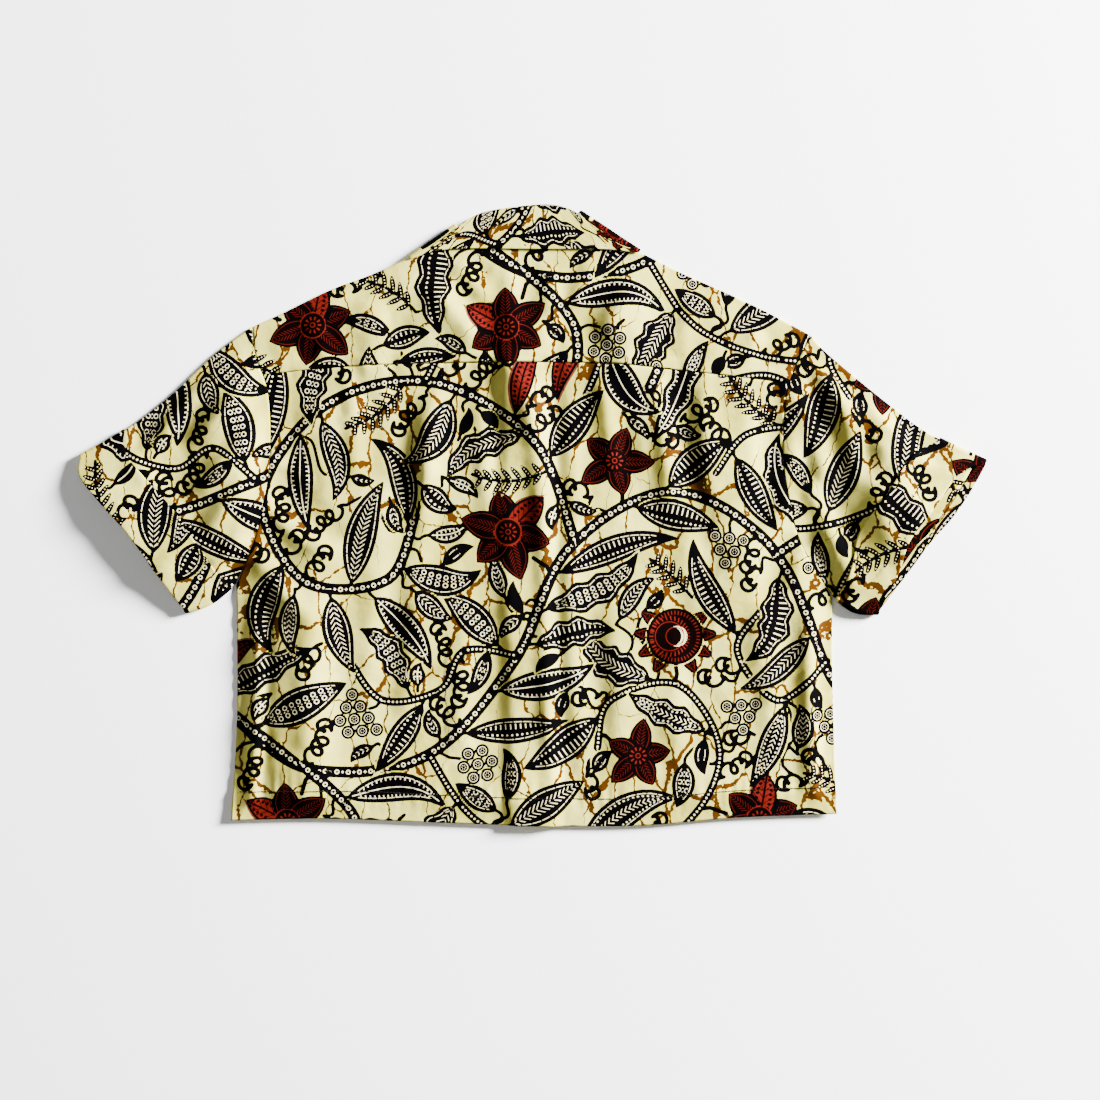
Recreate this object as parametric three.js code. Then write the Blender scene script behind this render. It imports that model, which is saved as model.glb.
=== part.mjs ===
// A short-sleeved, boxy camp-collar shirt, laid flat with its back up, in millimetres.
// +Y runs from the hem to the collar, +X to the wearer's right, +Z up from the surface it lies on.
// Each piece of cloth that is cut and sewn on is one wall: a grid of points at the middle of the
// cloth, moved out to both faces and closed round its free edges. Where cloth turns over, at the
// shoulders, the sleeves, the cuffs and the collar, the wall turns with it. The layers lie on each
// other, from the fronts up to the collar.
import * as THREE from 'three';

// ---- Cloth, gaps and layers ---------------------------------------------------------------------
const CLOTH = 1.2; // wall of one layer
const SEAM = 0.4; // between two pieces that are sewn together
const LAYER = CLOTH + 0.7; // from the middle of one layer to the middle of the next
const FLOOR = CLOTH / 2; // middle of a layer that lies on the surface
const HEM = { depth: 28, turned: 0.5 }; // turned-up hem, and how much thicker it makes the wall, inside
// From the middle of the front's cloth to the middle of the back's: at a fold, a side seam, the hem and
// inside, rise being how far in from the outline the inside starts.
const OPEN = { fold: 3, side: 1.6, hem: 3.4, inside: 4.4, rise: 30 };
const TURN_STEPS = 3; // cells round a fold of one layer

// ---- Collar, placket, cuffs and buttons ---------------------------------------------------------
// Heights of the stand and the leaf from the collar's middle plane.
const COLLAR = { stand: 1.8, leaf: 4, middle: 4.6 };
// Round the neck the layers rise over the collar: the fronts along y in frontRise, the back in backRise.
const NECK = { x: -12, halfWidth: 112, fade: 38, frontRise: [110, 150], backRise: [205, 232] };
// The two fronts overlap by half on each side of the centre front. They rise by lift over the buttons,
// out to flat and down to nothing at fade, and both end towards the neck, along y.
const PLACKET = {
  topX: -10, hemX: 0, topY: 168, hemY: -288, half: 14, step: [2, 16], doubled: [172, 190],
  lift: 2.7, flat: 13, fade: 32, liftEnds: [150, 175],
};
const BUTTONS = {
  count: 5, top: 138, pitch: 85, radius: 5.7, thick: 2.4, hole: 0.9, holeAt: 1.9, bevel: 0.45,
};
const CUFF = { gap: 1.9, inside: 10, fade: 14, footShare: 0.8 };

// ---- Outlines: where the garment ends, seen from above. Columns x, y. ---------------------------
const points = (...rows) => rows.map(([x, y]) => new THREE.Vector2(x, y));
const SHOULDER = {
  left: points([-262, 176.5], [-232, 190], [-189, 211], [-142, 228.5], [-98, 248.5]),
  right: points([259, 168.5], [218, 190.3], [179.5, 208.5], [140, 226], [72, 258.5]),
};
const SLEEVE_TOP = {
  left: points([-262, 176.5], [-298, 149.5], [-338, 112], [-386, 75.5], [-421.5, 55.5]),
  right: points([259, 168.5], [274, 152], [330, 105.5], [372, 75], [424, 49.5]),
};
const SLEEVE_UNDER = {
  left: points([-277, -64], [-301, -82], [-324.5, -89.5]),
  right: points([279, -76], [300, -89.5], [322, -91]),
};
const MOUTH = {
  left: {
    upper: points([-421.5, 55.5], [-421.5, 36], [-398, 7.5], [-375, -18], [-345, -61], [-324.5, -89.5]),
    lower: points([-421.5, 55.5], [-420.5, 36], [-397, 7.5], [-374, -18], [-344, -61], [-324.5, -89.5]),
  },
  right: {
    upper: points([424, 49.5], [397, 39], [371, 5], [348, -24], [339, -55], [322, -91]),
    lower: points([424, 49.5], [410, 24], [393, -1], [372, -25], [351, -53], [322, -91]),
  },
};
const ARMHOLE = {
  left: points([-262, 176.5], [-259, 150], [-248, 118], [-245, 78], [-247, 34], [-259, -21], [-277, -64]),
  right: points([259, 168.5], [243, 136], [235, 110], [233, 66], [236, 30], [249, -24], [279, -76]),
};
const SIDE = {
  left: points([-277, -64], [-276, -146], [-277, -205], [-281.5, -284]),
  right: points([279, -76], [279.5, -150], [281, -210], [283, -278]),
};
// Between the armholes.
const YOKE_SEAM = points([-198, 137], [-124, 141], [-12, 142.5], [67, 141.5], [155, 133.5]);
const HEM_LINE = points(
  [-281.5, -284], [-191, -282.5], [-92, -286], [0, -289], [98, -289], [190, -281.5], [283, -278],
);
const NECK_SEAM = points([-98, 248.5], [-60, 251], [-12, 252.5], [35, 255.5], [72, 258.5]);
// The edge of each front, from the shoulder seam round the neck, down the roll line and the centre front.
const FRONT_EDGE = {
  left: points(
    [-84, 223.5], [-68, 206], [-50, 194], [-16, 171], [4, 157], [5, 120], [9, -100], [14, -289],
  ),
  right: points(
    [59, 233.5], [46, 214], [30, 198], [-6, 171.5], [-24, 157], [-23, 120], [-19, -100], [-14, -288.8],
  ),
};
// Share of the armhole, from the shoulder down, that the yoke takes behind and in front.
const YOKE_SHARE = { left: { back: 0.181, front: 0.13 }, right: { back: 0.185, front: 0.13 } };
const CUFF_DEPTH = { left: { top: 48, under: 48 }, right: { top: 48, under: 42 } };
const BACK_LENGTH = 420; // yoke seam to hem
// Where the body, with its side seams, gives way to the sleeves: along y, and past the sides along x.
const UNDERARM_RISE = [-60, -30];
const PAST_SIDE = [283, 296];
const HEM_RISE = [-270, -230];

// ---- The largest folds, as soft ridges and troughs ----------------------------------------------
const FOLD_FADE = [4, 24]; // in from the outline, where they start and are full
const FOLDS = [
  { from: [-3, 113], to: [11, -59], width: 12, height: 2.4 },
  { from: [11, -59], to: [21, -245], width: 11, height: 2.2 },
  { from: [113, 128], to: [126, -3], width: 13, height: 3 },
  { from: [62, 128], to: [73, 34], width: 12, height: 2 },
  { from: [160, 118], to: [163, 20], width: 12, height: 2.2 },
  { from: [-172, 128], to: [-168, 30], width: 12, height: 2 },
  { from: [-86, 126], to: [-102, -30], width: 13, height: 2.6 },
  { from: [-108, -40], to: [-124, -200], width: 15, height: 2.2 },
  { from: [211, -40], to: [226, -226], width: 15, height: 2.2 },
  { from: [-258, -90], to: [-262, -262], width: 9, height: 2.4 },
  { from: [-250, 8], to: [-186, -44], width: 13, height: 2.4 },
  { from: [240, 12], to: [196, -36], width: 13, height: 2.2 },
  { from: [-258, 66], to: [-338, -20], width: 15, height: 3 },
  { from: [-268, 128], to: [-312, 62], width: 13, height: 2.8 },
  { from: [262, 140], to: [300, 30], width: 13, height: 3 },
  { from: [250, 20], to: [290, -52], width: 12, height: 2.6 },
  { from: [-105, 205], to: [-60, 160], width: 15, height: 2.2 },
  { from: [96, 205], to: [70, 160], width: 14, height: 2 },
];

// ---- Grid sizes ---------------------------------------------------------------------------------
const ACROSS = 40; // columns of yoke and back
const NECK_COLUMN = { left: 13, right: 26 }; // where the neck starts and ends among them
const ROWS = { yoke: 5, armhole: 9, side: 10, yokeFront: 2, frontArmhole: 8, frontSide: 8 };
// Columns of a front: millimetres in from its own edge, then shares of what is left up to the armhole.
const FRONT_FROM_EDGE = [0, 8, 19, 30, 37, 45, 60];
const FRONT_TO_ARMHOLE = [0.25, 0.5, 0.75, 1];
const SLEEVE_ROWS = { open: 5, overCuff: 2, inCuff: 3 };

// ---- Curves and soft steps ----------------------------------------------------------------------
const mix = THREE.MathUtils.lerp;
const ramp = THREE.MathUtils.smoothstep; // from 0 at its second value to 1 at its third
const sideOf = (side) => (side === 'left' ? -1 : 1);

// A smooth line through a table's points. at(share, off) is the point at that share of its length, moved
// off to its left by off.
function line(table) {
  const curve = new THREE.SplineCurve(table);
  curve.arcLengthDivisions = 400;
  return (share, off = 0) => {
    const point = curve.getPointAt(share);
    const tangent = curve.getTangentAt(share);
    return point.add(new THREE.Vector2(-tangent.y, tangent.x).multiplyScalar(off));
  };
}
const lineLength = (table) => new THREE.SplineCurve(table).getLength();

// A patch between four lines: ends start and finish, and edges near and far, whose own bends fade across it.
function patch(start, finish, near, far) {
  return (s, t) => {
    const bend = (edge) => edge(t).sub(edge(0).lerp(edge(1), t));
    const straight = start(s).lerp(finish(s), t);
    return straight.add(bend(near).multiplyScalar(1 - s)).add(bend(far).multiplyScalar(s));
  };
}

const CLOSED_EDGES = [
  SHOULDER.left, SHOULDER.right, SLEEVE_TOP.left, SLEEVE_TOP.right,
  SLEEVE_UNDER.left, SLEEVE_UNDER.right, SIDE.left, SIDE.right, HEM_LINE,
];
function nearest(table, x, y) {
  let least = Infinity;
  for (let i = 1; i < table.length; i += 1) {
    const [a, b] = [table[i - 1], table[i]];
    const along = b.clone().sub(a);
    const reach = (x - a.x) * along.x + (y - a.y) * along.y;
    const share = THREE.MathUtils.clamp(reach / along.lengthSq(), 0, 1);
    least = Math.min(least, Math.hypot(a.x + share * along.x - x, a.y + share * along.y - y));
  }
  return least;
}

// ---- Heights of the layers over a point of the plan, at the middle of the cloth -----------------
function centreFront(y) {
  return mix(PLACKET.hemX, PLACKET.topX, (y - PLACKET.hemY) / (PLACKET.topY - PLACKET.hemY));
}
const nearNeck = (x) => 1 - ramp(Math.abs(x - NECK.x), NECK.halfWidth, NECK.halfWidth + NECK.fade);
function frontHeight(x, y) {
  const overCollar = (COLLAR.middle - COLLAR.stand - FLOOR) * nearNeck(x) * ramp(y, ...NECK.frontRise);
  const offCentre = Math.abs(x - centreFront(y));
  const nearButtons = (1 - ramp(offCentre, PLACKET.flat, PLACKET.fade)) * (1 - ramp(y, ...PLACKET.liftEnds));
  return FLOOR + Math.max(overCollar, PLACKET.lift * nearButtons);
}
// The wearer's right front lies inside the left one and rises over its edge.
function innerFrontHeight(x, y) {
  const pastEdge = x - centreFront(y) - PLACKET.half;
  const overOuter = (1 - ramp(pastEdge, ...PLACKET.step)) * (1 - ramp(y, ...PLACKET.doubled));
  return frontHeight(x, y) + LAYER * overOuter;
}
const heightOfFront = { left: frontHeight, right: innerFrontHeight };
function foldHeight(x, y) {
  return FOLDS.reduce((sum, { from, to, width, height }) => {
    const off = nearest([new THREE.Vector2(...from), new THREE.Vector2(...to)], x, y);
    return sum + height * Math.exp(-((off / width) ** 2));
  }, 0);
}
function backHeight(x, y) {
  const edge = Math.min(...CLOSED_EDGES.map((table) => nearest(table, x, y)));
  const onBody = (1 - ramp(y, ...UNDERARM_RISE)) * (1 - ramp(Math.abs(x), ...PAST_SIDE));
  const atEdge = mix(OPEN.fold, mix(OPEN.side, OPEN.hem, 1 - ramp(y, ...HEM_RISE)), onBody);
  const inside = ramp(edge, 0, OPEN.rise);
  const loose = mix(atEdge, OPEN.inside, inside) + foldHeight(x, y) * ramp(edge, ...FOLD_FADE);
  const atNeck = nearNeck(x) * ramp(y, ...NECK.backRise);
  const pastOverlap = Math.abs(x - centreFront(y)) - PLACKET.half;
  const twoFronts = (1 - ramp(pastOverlap, ...PLACKET.step)) * (1 - ramp(y, ...PLACKET.doubled));
  return frontHeight(x, y) + LAYER * twoFronts + mix(loose, 2 * COLLAR.stand, atNeck);
}
const lift = (plan, height) => new THREE.Vector3(plan.x, plan.y, height(plan.x, plan.y));

// ---- Closed meshes ------------------------------------------------------------------------------
function meshOf(name, material, geometry) {
  const mesh = new THREE.Mesh(geometry, material);
  mesh.name = name;
  return mesh;
}
function geometryOf(vertices, faces) {
  const geometry = new THREE.BufferGeometry();
  const places = new THREE.Float32BufferAttribute(vertices.flatMap((v) => v.toArray()), 3);
  geometry.setAttribute('position', places);
  geometry.setIndex(faces.flat());
  geometry.computeVertexNormals();
  return geometry;
}

// A wall of cloth on a grid of columns by rows. point(i, j) is its middle, thick(point) its half
// thicknesses [outside, inside], has(i, j) says which cells there are, and closed joins the last column to
// the first.
const evenly = () => [CLOTH / 2, CLOTH / 2];
function wall({ columns, rows, point, thick = evenly, has = () => true, closed = false }) {
  const wide = closed ? columns : columns + 1;
  const middle = [];
  for (let j = 0; j <= rows; j += 1) {
    for (let i = 0; i < wide; i += 1) middle.push(point(i, j));
  }
  const index = (i, j) => j * wide + (i % wide);
  const cells = [];
  for (let j = 0; j < rows; j += 1) {
    for (let i = 0; i < columns; i += 1) {
      if (has(i, j)) cells.push([index(i, j), index(i + 1, j), index(i + 1, j + 1), index(i, j + 1)]);
    }
  }
  const normals = middle.map(() => new THREE.Vector3());
  for (const cell of cells) {
    const [a, b, c, d] = cell.map((k) => middle[k]);
    const across = c.clone().sub(a).cross(d.clone().sub(b)).normalize();
    cell.forEach((k) => normals[k].add(across));
  }
  const used = [...new Set(cells.flat())];
  const order = new Map(used.map((k, n) => [k, n]));
  const moved = (k, amount) => middle[k].clone().addScaledVector(normals[k].clone().normalize(), amount);
  const outer = used.map((k) => moved(k, thick(middle[k])[0]));
  const inner = used.map((k) => moved(k, -thick(middle[k])[1]));
  const count = used.length;
  const faces = [];
  const free = new Map();
  for (const cell of cells) {
    const [a, b, c, d] = cell.map((k) => order.get(k));
    faces.push([a, b, c], [a, c, d], [a + count, c + count, b + count], [a + count, d + count, c + count]);
    for (const [p, q] of [[a, b], [b, c], [c, d], [d, a]]) {
      if (!free.delete(`${q} ${p}`)) free.set(`${p} ${q}`, [p, q]);
    }
  }
  for (const [p, q] of free.values()) faces.push([p, p + count, q + count], [p, q + count, q]);
  return geometryOf([...outer, ...inner], faces);
}

// A closed section carried along stations: ring(k) gives the section's points there. Both ends are capped.
function loft(stations, ring, caps) {
  const rings = Array.from({ length: stations }, (_, k) => ring(k));
  const n = rings[0].length;
  const faces = [];
  for (let k = 0; k + 1 < stations; k += 1) {
    for (let i = 0; i < n; i += 1) {
      const [a, b] = [k * n + i, k * n + ((i + 1) % n)];
      faces.push([a, b, b + n], [a, b + n, a + n]);
    }
  }
  const last = (stations - 1) * n;
  for (const [a, b, c] of caps) faces.push([a, c, b], [last + a, last + b, last + c]);
  return geometryOf(rings.flat(), faces);
}

// ---- Materials ----------------------------------------------------------------------------------
const PRINTED_COTTON = new THREE.MeshStandardMaterial({ color: 0xd8cf9f, roughness: 0.85, metalness: 0 });
const BUTTON = new THREE.MeshStandardMaterial({ color: 0x2a211c, roughness: 0.35, metalness: 0 });

// ---- Lines that two pieces share ----------------------------------------------------------------
// Seams are split between the two pieces, so each keeps half the gap. A fold's own line lies inside the
// outline by the radius of its turn and half the cloth.
const FOLD_INSET = OPEN.fold / 2 + CLOTH / 2;
const shoulder = { left: line(SHOULDER.left), right: line(SHOULDER.right) };
const foldLine = (side) => (share) => shoulder[side](share, side === 'left' ? -FOLD_INSET : FOLD_INSET);
const armhole = {};
for (const side of ['left', 'right']) {
  const curve = line(ARMHOLE[side]);
  const trim = FOLD_INSET / lineLength(ARMHOLE[side]);
  // outward moves the line off the body by that much
  armhole[side] = (share, outward) => curve(mix(trim, 1, share), outward * sideOf(side));
}
const bodyEdge = (side) => (share) => armhole[side](share, -SEAM / 2);
const onArmhole = (side, which) => bodyEdge(side)(YOKE_SHARE[side][which]);

// ---- Yoke: one piece over both shoulders, from the back seam to the front seams -----------------
const yokeSeam = line([onArmhole('left', 'back'), ...YOKE_SEAM, onArmhole('right', 'back')]);
const neckSeam = line(NECK_SEAM);
const NECK_SHARE = { left: NECK_COLUMN.left / ACROSS, right: NECK_COLUMN.right / ACROSS };
function yokeTop(s) {
  if (s <= NECK_SHARE.left) return foldLine('left')(s / NECK_SHARE.left);
  if (s >= NECK_SHARE.right) return foldLine('right')((1 - s) / (1 - NECK_SHARE.right));
  const share = (s - NECK_SHARE.left) / (NECK_SHARE.right - NECK_SHARE.left);
  const ends = foldLine('left')(1).lerp(foldLine('right')(1), share);
  const dip = neckSeam(share).sub(neckSeam(0).lerp(neckSeam(1), share));
  return ends.add(dip);
}
const yokeBack = patch(
  (s) => yokeSeam(s, SEAM / 2),
  yokeTop,
  (t) => bodyEdge('left')(YOKE_SHARE.left.back * (1 - t)),
  (t) => bodyEdge('right')(YOKE_SHARE.right.back * (1 - t)),
);
const frontShoulder = {
  left: line([onArmhole('left', 'front'), FRONT_EDGE.left[0]]),
  right: line([onArmhole('right', 'front'), FRONT_EDGE.right[0]]),
};
// share runs from the armhole to the neck, and down from the fold to the front seam
function yokeFront(side, share, down) {
  const edge = (t) => bodyEdge(side)(YOKE_SHARE[side].front * t);
  const neck = (t) => foldLine(side)(1).lerp(FRONT_EDGE[side][0], t);
  const seam = (s) => frontShoulder[side](s, SEAM / 2 * -sideOf(side));
  return patch(foldLine(side), seam, edge, neck)(share, down);
}

// The turn from the upper layer to the lower one at a fold line: angle 90 is up and -90 down.
function turned(plan, out, upper, lower, degrees, more = 0) {
  const angle = THREE.MathUtils.degToRad(degrees);
  const radius = (upper - lower) / 2 + more;
  const reach = radius * Math.cos(angle);
  return new THREE.Vector3(
    plan.x + out.x * reach, plan.y + out.y * reach, (upper + lower) / 2 + radius * Math.sin(angle),
  );
}
const tangentOf = (curve, share, step = 0.01) => {
  const [a, b] = [Math.max(0, share - step), Math.min(1, share + step)];
  return curve(b).sub(curve(a)).normalize();
};

function yoke() {
  const { left, right } = NECK_COLUMN;
  const turnTop = ROWS.yoke;
  const turnEnd = turnTop + TURN_STEPS;
  const rows = turnEnd + ROWS.yokeFront;
  function point(i, j) {
    const s = i / ACROSS;
    if (j <= turnTop) return lift(yokeBack(s, j / turnTop), backHeight);
    const side = i <= left ? 'left' : 'right';
    const share = side === 'left' ? i / left : (ACROSS - i) / (ACROSS - right);
    if (side === 'right' && i < right) return lift(yokeBack(s, 1), backHeight);
    if (j >= turnEnd) return lift(yokeFront(side, share, (j - turnEnd) / ROWS.yokeFront), frontHeight);
    const plan = foldLine(side)(share);
    const tangent = tangentOf(foldLine(side), share);
    const out = new THREE.Vector2(-tangent.y, tangent.x).multiplyScalar(-sideOf(side));
    const degrees = 90 - (180 * (j - turnTop)) / TURN_STEPS;
    return turned(plan, out, backHeight(plan.x, plan.y), frontHeight(plan.x, plan.y), degrees);
  }
  return wall({ columns: ACROSS, rows, point, has: (i, j) => j < turnTop || i < left || i >= right });
}

// ---- Back ---------------------------------------------------------------------------------------
const hemLine = line(HEM_LINE);
const sideLine = { left: line(SIDE.left), right: line(SIDE.right) };
const backRows = ROWS.armhole + ROWS.side;
const UNDERARM = ROWS.armhole / backRows;
function backEdge(side) {
  return (t) => (t < UNDERARM
    ? bodyEdge(side)(mix(YOKE_SHARE[side].back, 1, t / UNDERARM))
    : sideLine[side]((t - UNDERARM) / (1 - UNDERARM)));
}
const hemThickness = (inward) => ({ x, y }) => {
  const share = (x - HEM_LINE[0].x) / (HEM_LINE.at(-1).x - HEM_LINE[0].x);
  const above = y - hemLine(THREE.MathUtils.clamp(share, 0, 1)).y;
  const turnedUp = above < HEM.depth ? HEM.turned : 0;
  return inward ? [CLOTH / 2, CLOTH / 2 + turnedUp] : [CLOTH / 2 + turnedUp, CLOTH / 2];
};
function back() {
  const plan = patch((s) => yokeSeam(s, -SEAM / 2), hemLine, backEdge('left'), backEdge('right'));
  const hemRow = 1 - HEM.depth / BACK_LENGTH;
  const rowAt = (j) => (j === backRows - 1 ? hemRow : j / backRows);
  // columns run from right to left, so that the wall's outside faces up
  return wall({
    columns: ACROSS,
    rows: backRows,
    point: (i, j) => lift(plan(1 - i / ACROSS, rowAt(j)), backHeight),
    thick: hemThickness(true),
  });
}

// ---- Fronts: they lie face down, and the wearer's left one is outside ---------------------------
function front(side) {
  const rows = ROWS.frontArmhole + ROWS.frontSide;
  const underarm = ROWS.frontArmhole / rows;
  const edge = line(FRONT_EDGE[side]);
  const hemEnd = (FRONT_EDGE[side].at(-1).x - HEM_LINE[0].x) / (HEM_LINE.at(-1).x - HEM_LINE[0].x);
  const outer = (t) => (t < underarm
    ? bodyEdge(side)(mix(YOKE_SHARE[side].front, 1, t / underarm))
    : sideLine[side]((t - underarm) / (1 - underarm)));
  const seam = (s) => frontShoulder[side](s, SEAM / 2 * sideOf(side));
  const hem = (s) => hemLine(mix(side === 'left' ? 0 : 1, hemEnd, s));
  const plan = patch(seam, hem, outer, (t) => edge(t));
  const count = FRONT_FROM_EDGE.length + FRONT_TO_ARMHOLE.length - 1;
  function column(i, t) {
    const width = plan(0, t).distanceTo(plan(1, t));
    const last = FRONT_FROM_EDGE.length - 1;
    if (i <= last) return 1 - FRONT_FROM_EDGE[i] / width;
    return (1 - FRONT_FROM_EDGE[last] / width) * (1 - FRONT_TO_ARMHOLE[i - last - 1]);
  }
  return wall({
    columns: count,
    rows,
    point: (i, j) => {
      const across = column(side === 'left' ? i : count - i, j / rows);
      return lift(plan(across, j / rows), heightOfFront[side]);
    },
    thick: hemThickness(false),
  });
}

// ---- Lapels: the facing that shows where the front turns out at its roll line -------------------
// roll gives the shares of the front's edge where the roll line starts, at the gorge, and ends. Where it
// ends, the lapel is LAPEL_FOOT of its own length wide.
const LAPEL_FOOT = 0.06;
const LAPEL = {
  left: { roll: [0.082, 0.17], tip: [-84, 171] },
  right: { roll: [0.086, 0.147], tip: [64, 174] },
};
function lapel(side) {
  const edge = line(FRONT_EDGE[side]);
  const off = side === 'left' ? 1 : -1;
  const onRoll = (share) => edge(mix(...LAPEL[side].roll, share), 3 * SEAM * off);
  const tip = new THREE.Vector2(...LAPEL[side].tip);
  const columns = 5;
  const flatRows = 3;
  const height = heightOfFront[side];
  function point(i, j) {
    const share = (side === 'left' ? i : columns - i) / columns;
    const roll = onRoll(share);
    if (j <= flatRows) {
      const plan = tip.clone().lerp(onRoll(1).lerp(tip, LAPEL_FOOT), share).lerp(roll, j / flatRows);
      return new THREE.Vector3(plan.x, plan.y, FLOOR);
    }
    const tangent = tangentOf(onRoll, share, 0.1);
    const out = new THREE.Vector2(-tangent.y, tangent.x).multiplyScalar(off);
    return turned(roll, out, height(roll.x, roll.y), FLOOR, -90 + (180 * (j - flatRows)) / TURN_STEPS);
  }
  return wall({ columns, rows: flatRows + TURN_STEPS, point });
}

// ---- Sleeves: tubes laid flat, with a turned-up cuff round each mouth ---------------------------
const UNDERARM_EASE = 3; // how many seam gaps the sleeve draws off at the underarm
function sleeveShape(side) {
  const sign = sideOf(side);
  const [top, under] = [line(SLEEVE_TOP[side]), line(SLEEVE_UNDER[side])];
  const topFold = (t) => top(t, FOLD_INSET * -sign);
  const underFold = (t) => under(t, FOLD_INSET * sign);
  const layers = {};
  for (const layer of ['upper', 'lower']) {
    const mouth = line(MOUTH[side][layer]);
    const trim = FOLD_INSET / lineLength(MOUTH[side][layer]);
    const last = 1 - FOLD_INSET / lineLength(ARMHOLE[side]);
    const start = (s) => armhole[side](Math.min(s, last), SEAM * (0.5 + UNDERARM_EASE * ramp(s, 0.9, 1)));
    layers[layer] = patch(start, (s) => mouth(mix(trim, 1 - trim, s)), topFold, underFold);
  }
  const outOf = (fold, t, turn) => {
    const tangent = tangentOf(fold, t);
    return new THREE.Vector2(-tangent.y, tangent.x).multiplyScalar(turn);
  };
  const { front: frontShare, back: backShare } = YOKE_SHARE[side];
  const shares = (split, first, second) => [
    ...Array.from({ length: first }, (_, k) => (split * k) / first),
    ...Array.from({ length: second + 1 }, (_, k) => mix(split, 1, k / second)),
  ];
  const upperShares = shares(backShare, ROWS.yoke, ROWS.armhole);
  const lowerShares = shares(frontShare, ROWS.yokeFront, ROWS.frontArmhole);
  const turnAngles = Array.from({ length: TURN_STEPS - 1 }, (_, k) => 90 - (180 * (k + 1)) / TURN_STEPS);
  // Stations round the tube: down the upper layer, round the underarm, up the lower layer and over the
  // shoulder.
  const stations = [
    ...upperShares.map((share) => ({ layer: 'upper', share })),
    ...turnAngles.map((degrees) => ({ fold: underFold, share: 1, turn: -sign, degrees })),
    ...lowerShares.reverse().map((share) => ({ layer: 'lower', share })),
    ...turnAngles.map((degrees) => ({ fold: topFold, share: 0, turn: sign, degrees: -degrees })),
  ];
  // At a station: the sleeve's length, the cuff's depth and where the sleeve starts to rise towards it.
  function lengths({ layer = 'upper', share }) {
    const whole = layers[layer](share, 0).distanceTo(layers[layer](share, 1));
    const depth = mix(CUFF_DEPTH[side].top, CUFF_DEPTH[side].under, share);
    return { whole, depth, foot: Math.min(depth + CUFF.fade, mix(depth, whole, CUFF.footShare)) };
  }
  // inward is the distance from the mouth, and more how far outside the sleeve's own layer
  function point(station, inward, more) {
    const layer = station.layer ?? 'upper';
    const { whole, depth, foot } = lengths(station);
    const t = 1 - inward / whole;
    const overCuff = CUFF.gap * (1 - ramp(inward, depth + 1, foot));
    const plan = layers[layer](station.share, t);
    const [upper, lower] = [backHeight(plan.x, plan.y) + overCuff, frontHeight(plan.x, plan.y) + overCuff];
    if (station.layer === 'upper') return new THREE.Vector3(plan.x, plan.y, upper + more);
    if (station.layer === 'lower') return new THREE.Vector3(plan.x, plan.y, lower - more);
    return turned(plan, outOf(station.fold, t, station.turn), upper, lower, station.degrees, more);
  }
  return { stations, point, lengths };
}
const sleeves = { left: sleeveShape('left'), right: sleeveShape('right') };

// Stations go round clockwise on one side and anticlockwise on the other, so the right sleeve's are
// turned round.
const roundTube = (side, stations) => (side === 'left' ? stations : [...stations].reverse());
function sleeve(side) {
  const { stations, point, lengths } = sleeves[side];
  const round = roundTube(side, stations);
  const { open, overCuff, inCuff } = SLEEVE_ROWS;
  function inwardAt(station, j) {
    const { whole, depth, foot } = lengths(station);
    if (j <= open) return mix(whole, foot, j / open);
    if (j < open + overCuff) return mix(foot, depth + 1, (j - open) / overCuff);
    const gap = j === open + overCuff + inCuff ? SEAM : 0;
    return mix(depth, CUFF.inside, (j - open - overCuff) / inCuff) + gap;
  }
  return wall({
    columns: round.length,
    rows: open + overCuff + inCuff,
    closed: true,
    point: (i, j) => point(round[i], inwardAt(round[i], j), 0),
  });
}
function cuff(side) {
  const { stations, point } = sleeves[side];
  const round = roundTube(side, stations);
  const radius = CUFF.gap / 2;
  const mouth = radius + CLOTH / 2;
  const turnRows = 3;
  const outerRows = SLEEVE_ROWS.inCuff;
  const rows = 1 + turnRows + 1 + outerRows;
  function at(i, j) {
    const station = round[i];
    const depth = mix(CUFF_DEPTH[side].top, CUFF_DEPTH[side].under, station.share);
    if (j === 0) return point(station, CUFF.inside, 0);
    if (j <= 1 + turnRows) {
      const angle = (Math.PI * (j - 1)) / turnRows;
      return point(station, mouth - radius * Math.sin(angle), radius - radius * Math.cos(angle));
    }
    return point(station, mix(CUFF.inside, depth, (j - 2 - turnRows) / outerRows), CUFF.gap);
  }
  return wall({ columns: round.length, rows, closed: true, point: at });
}

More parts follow.
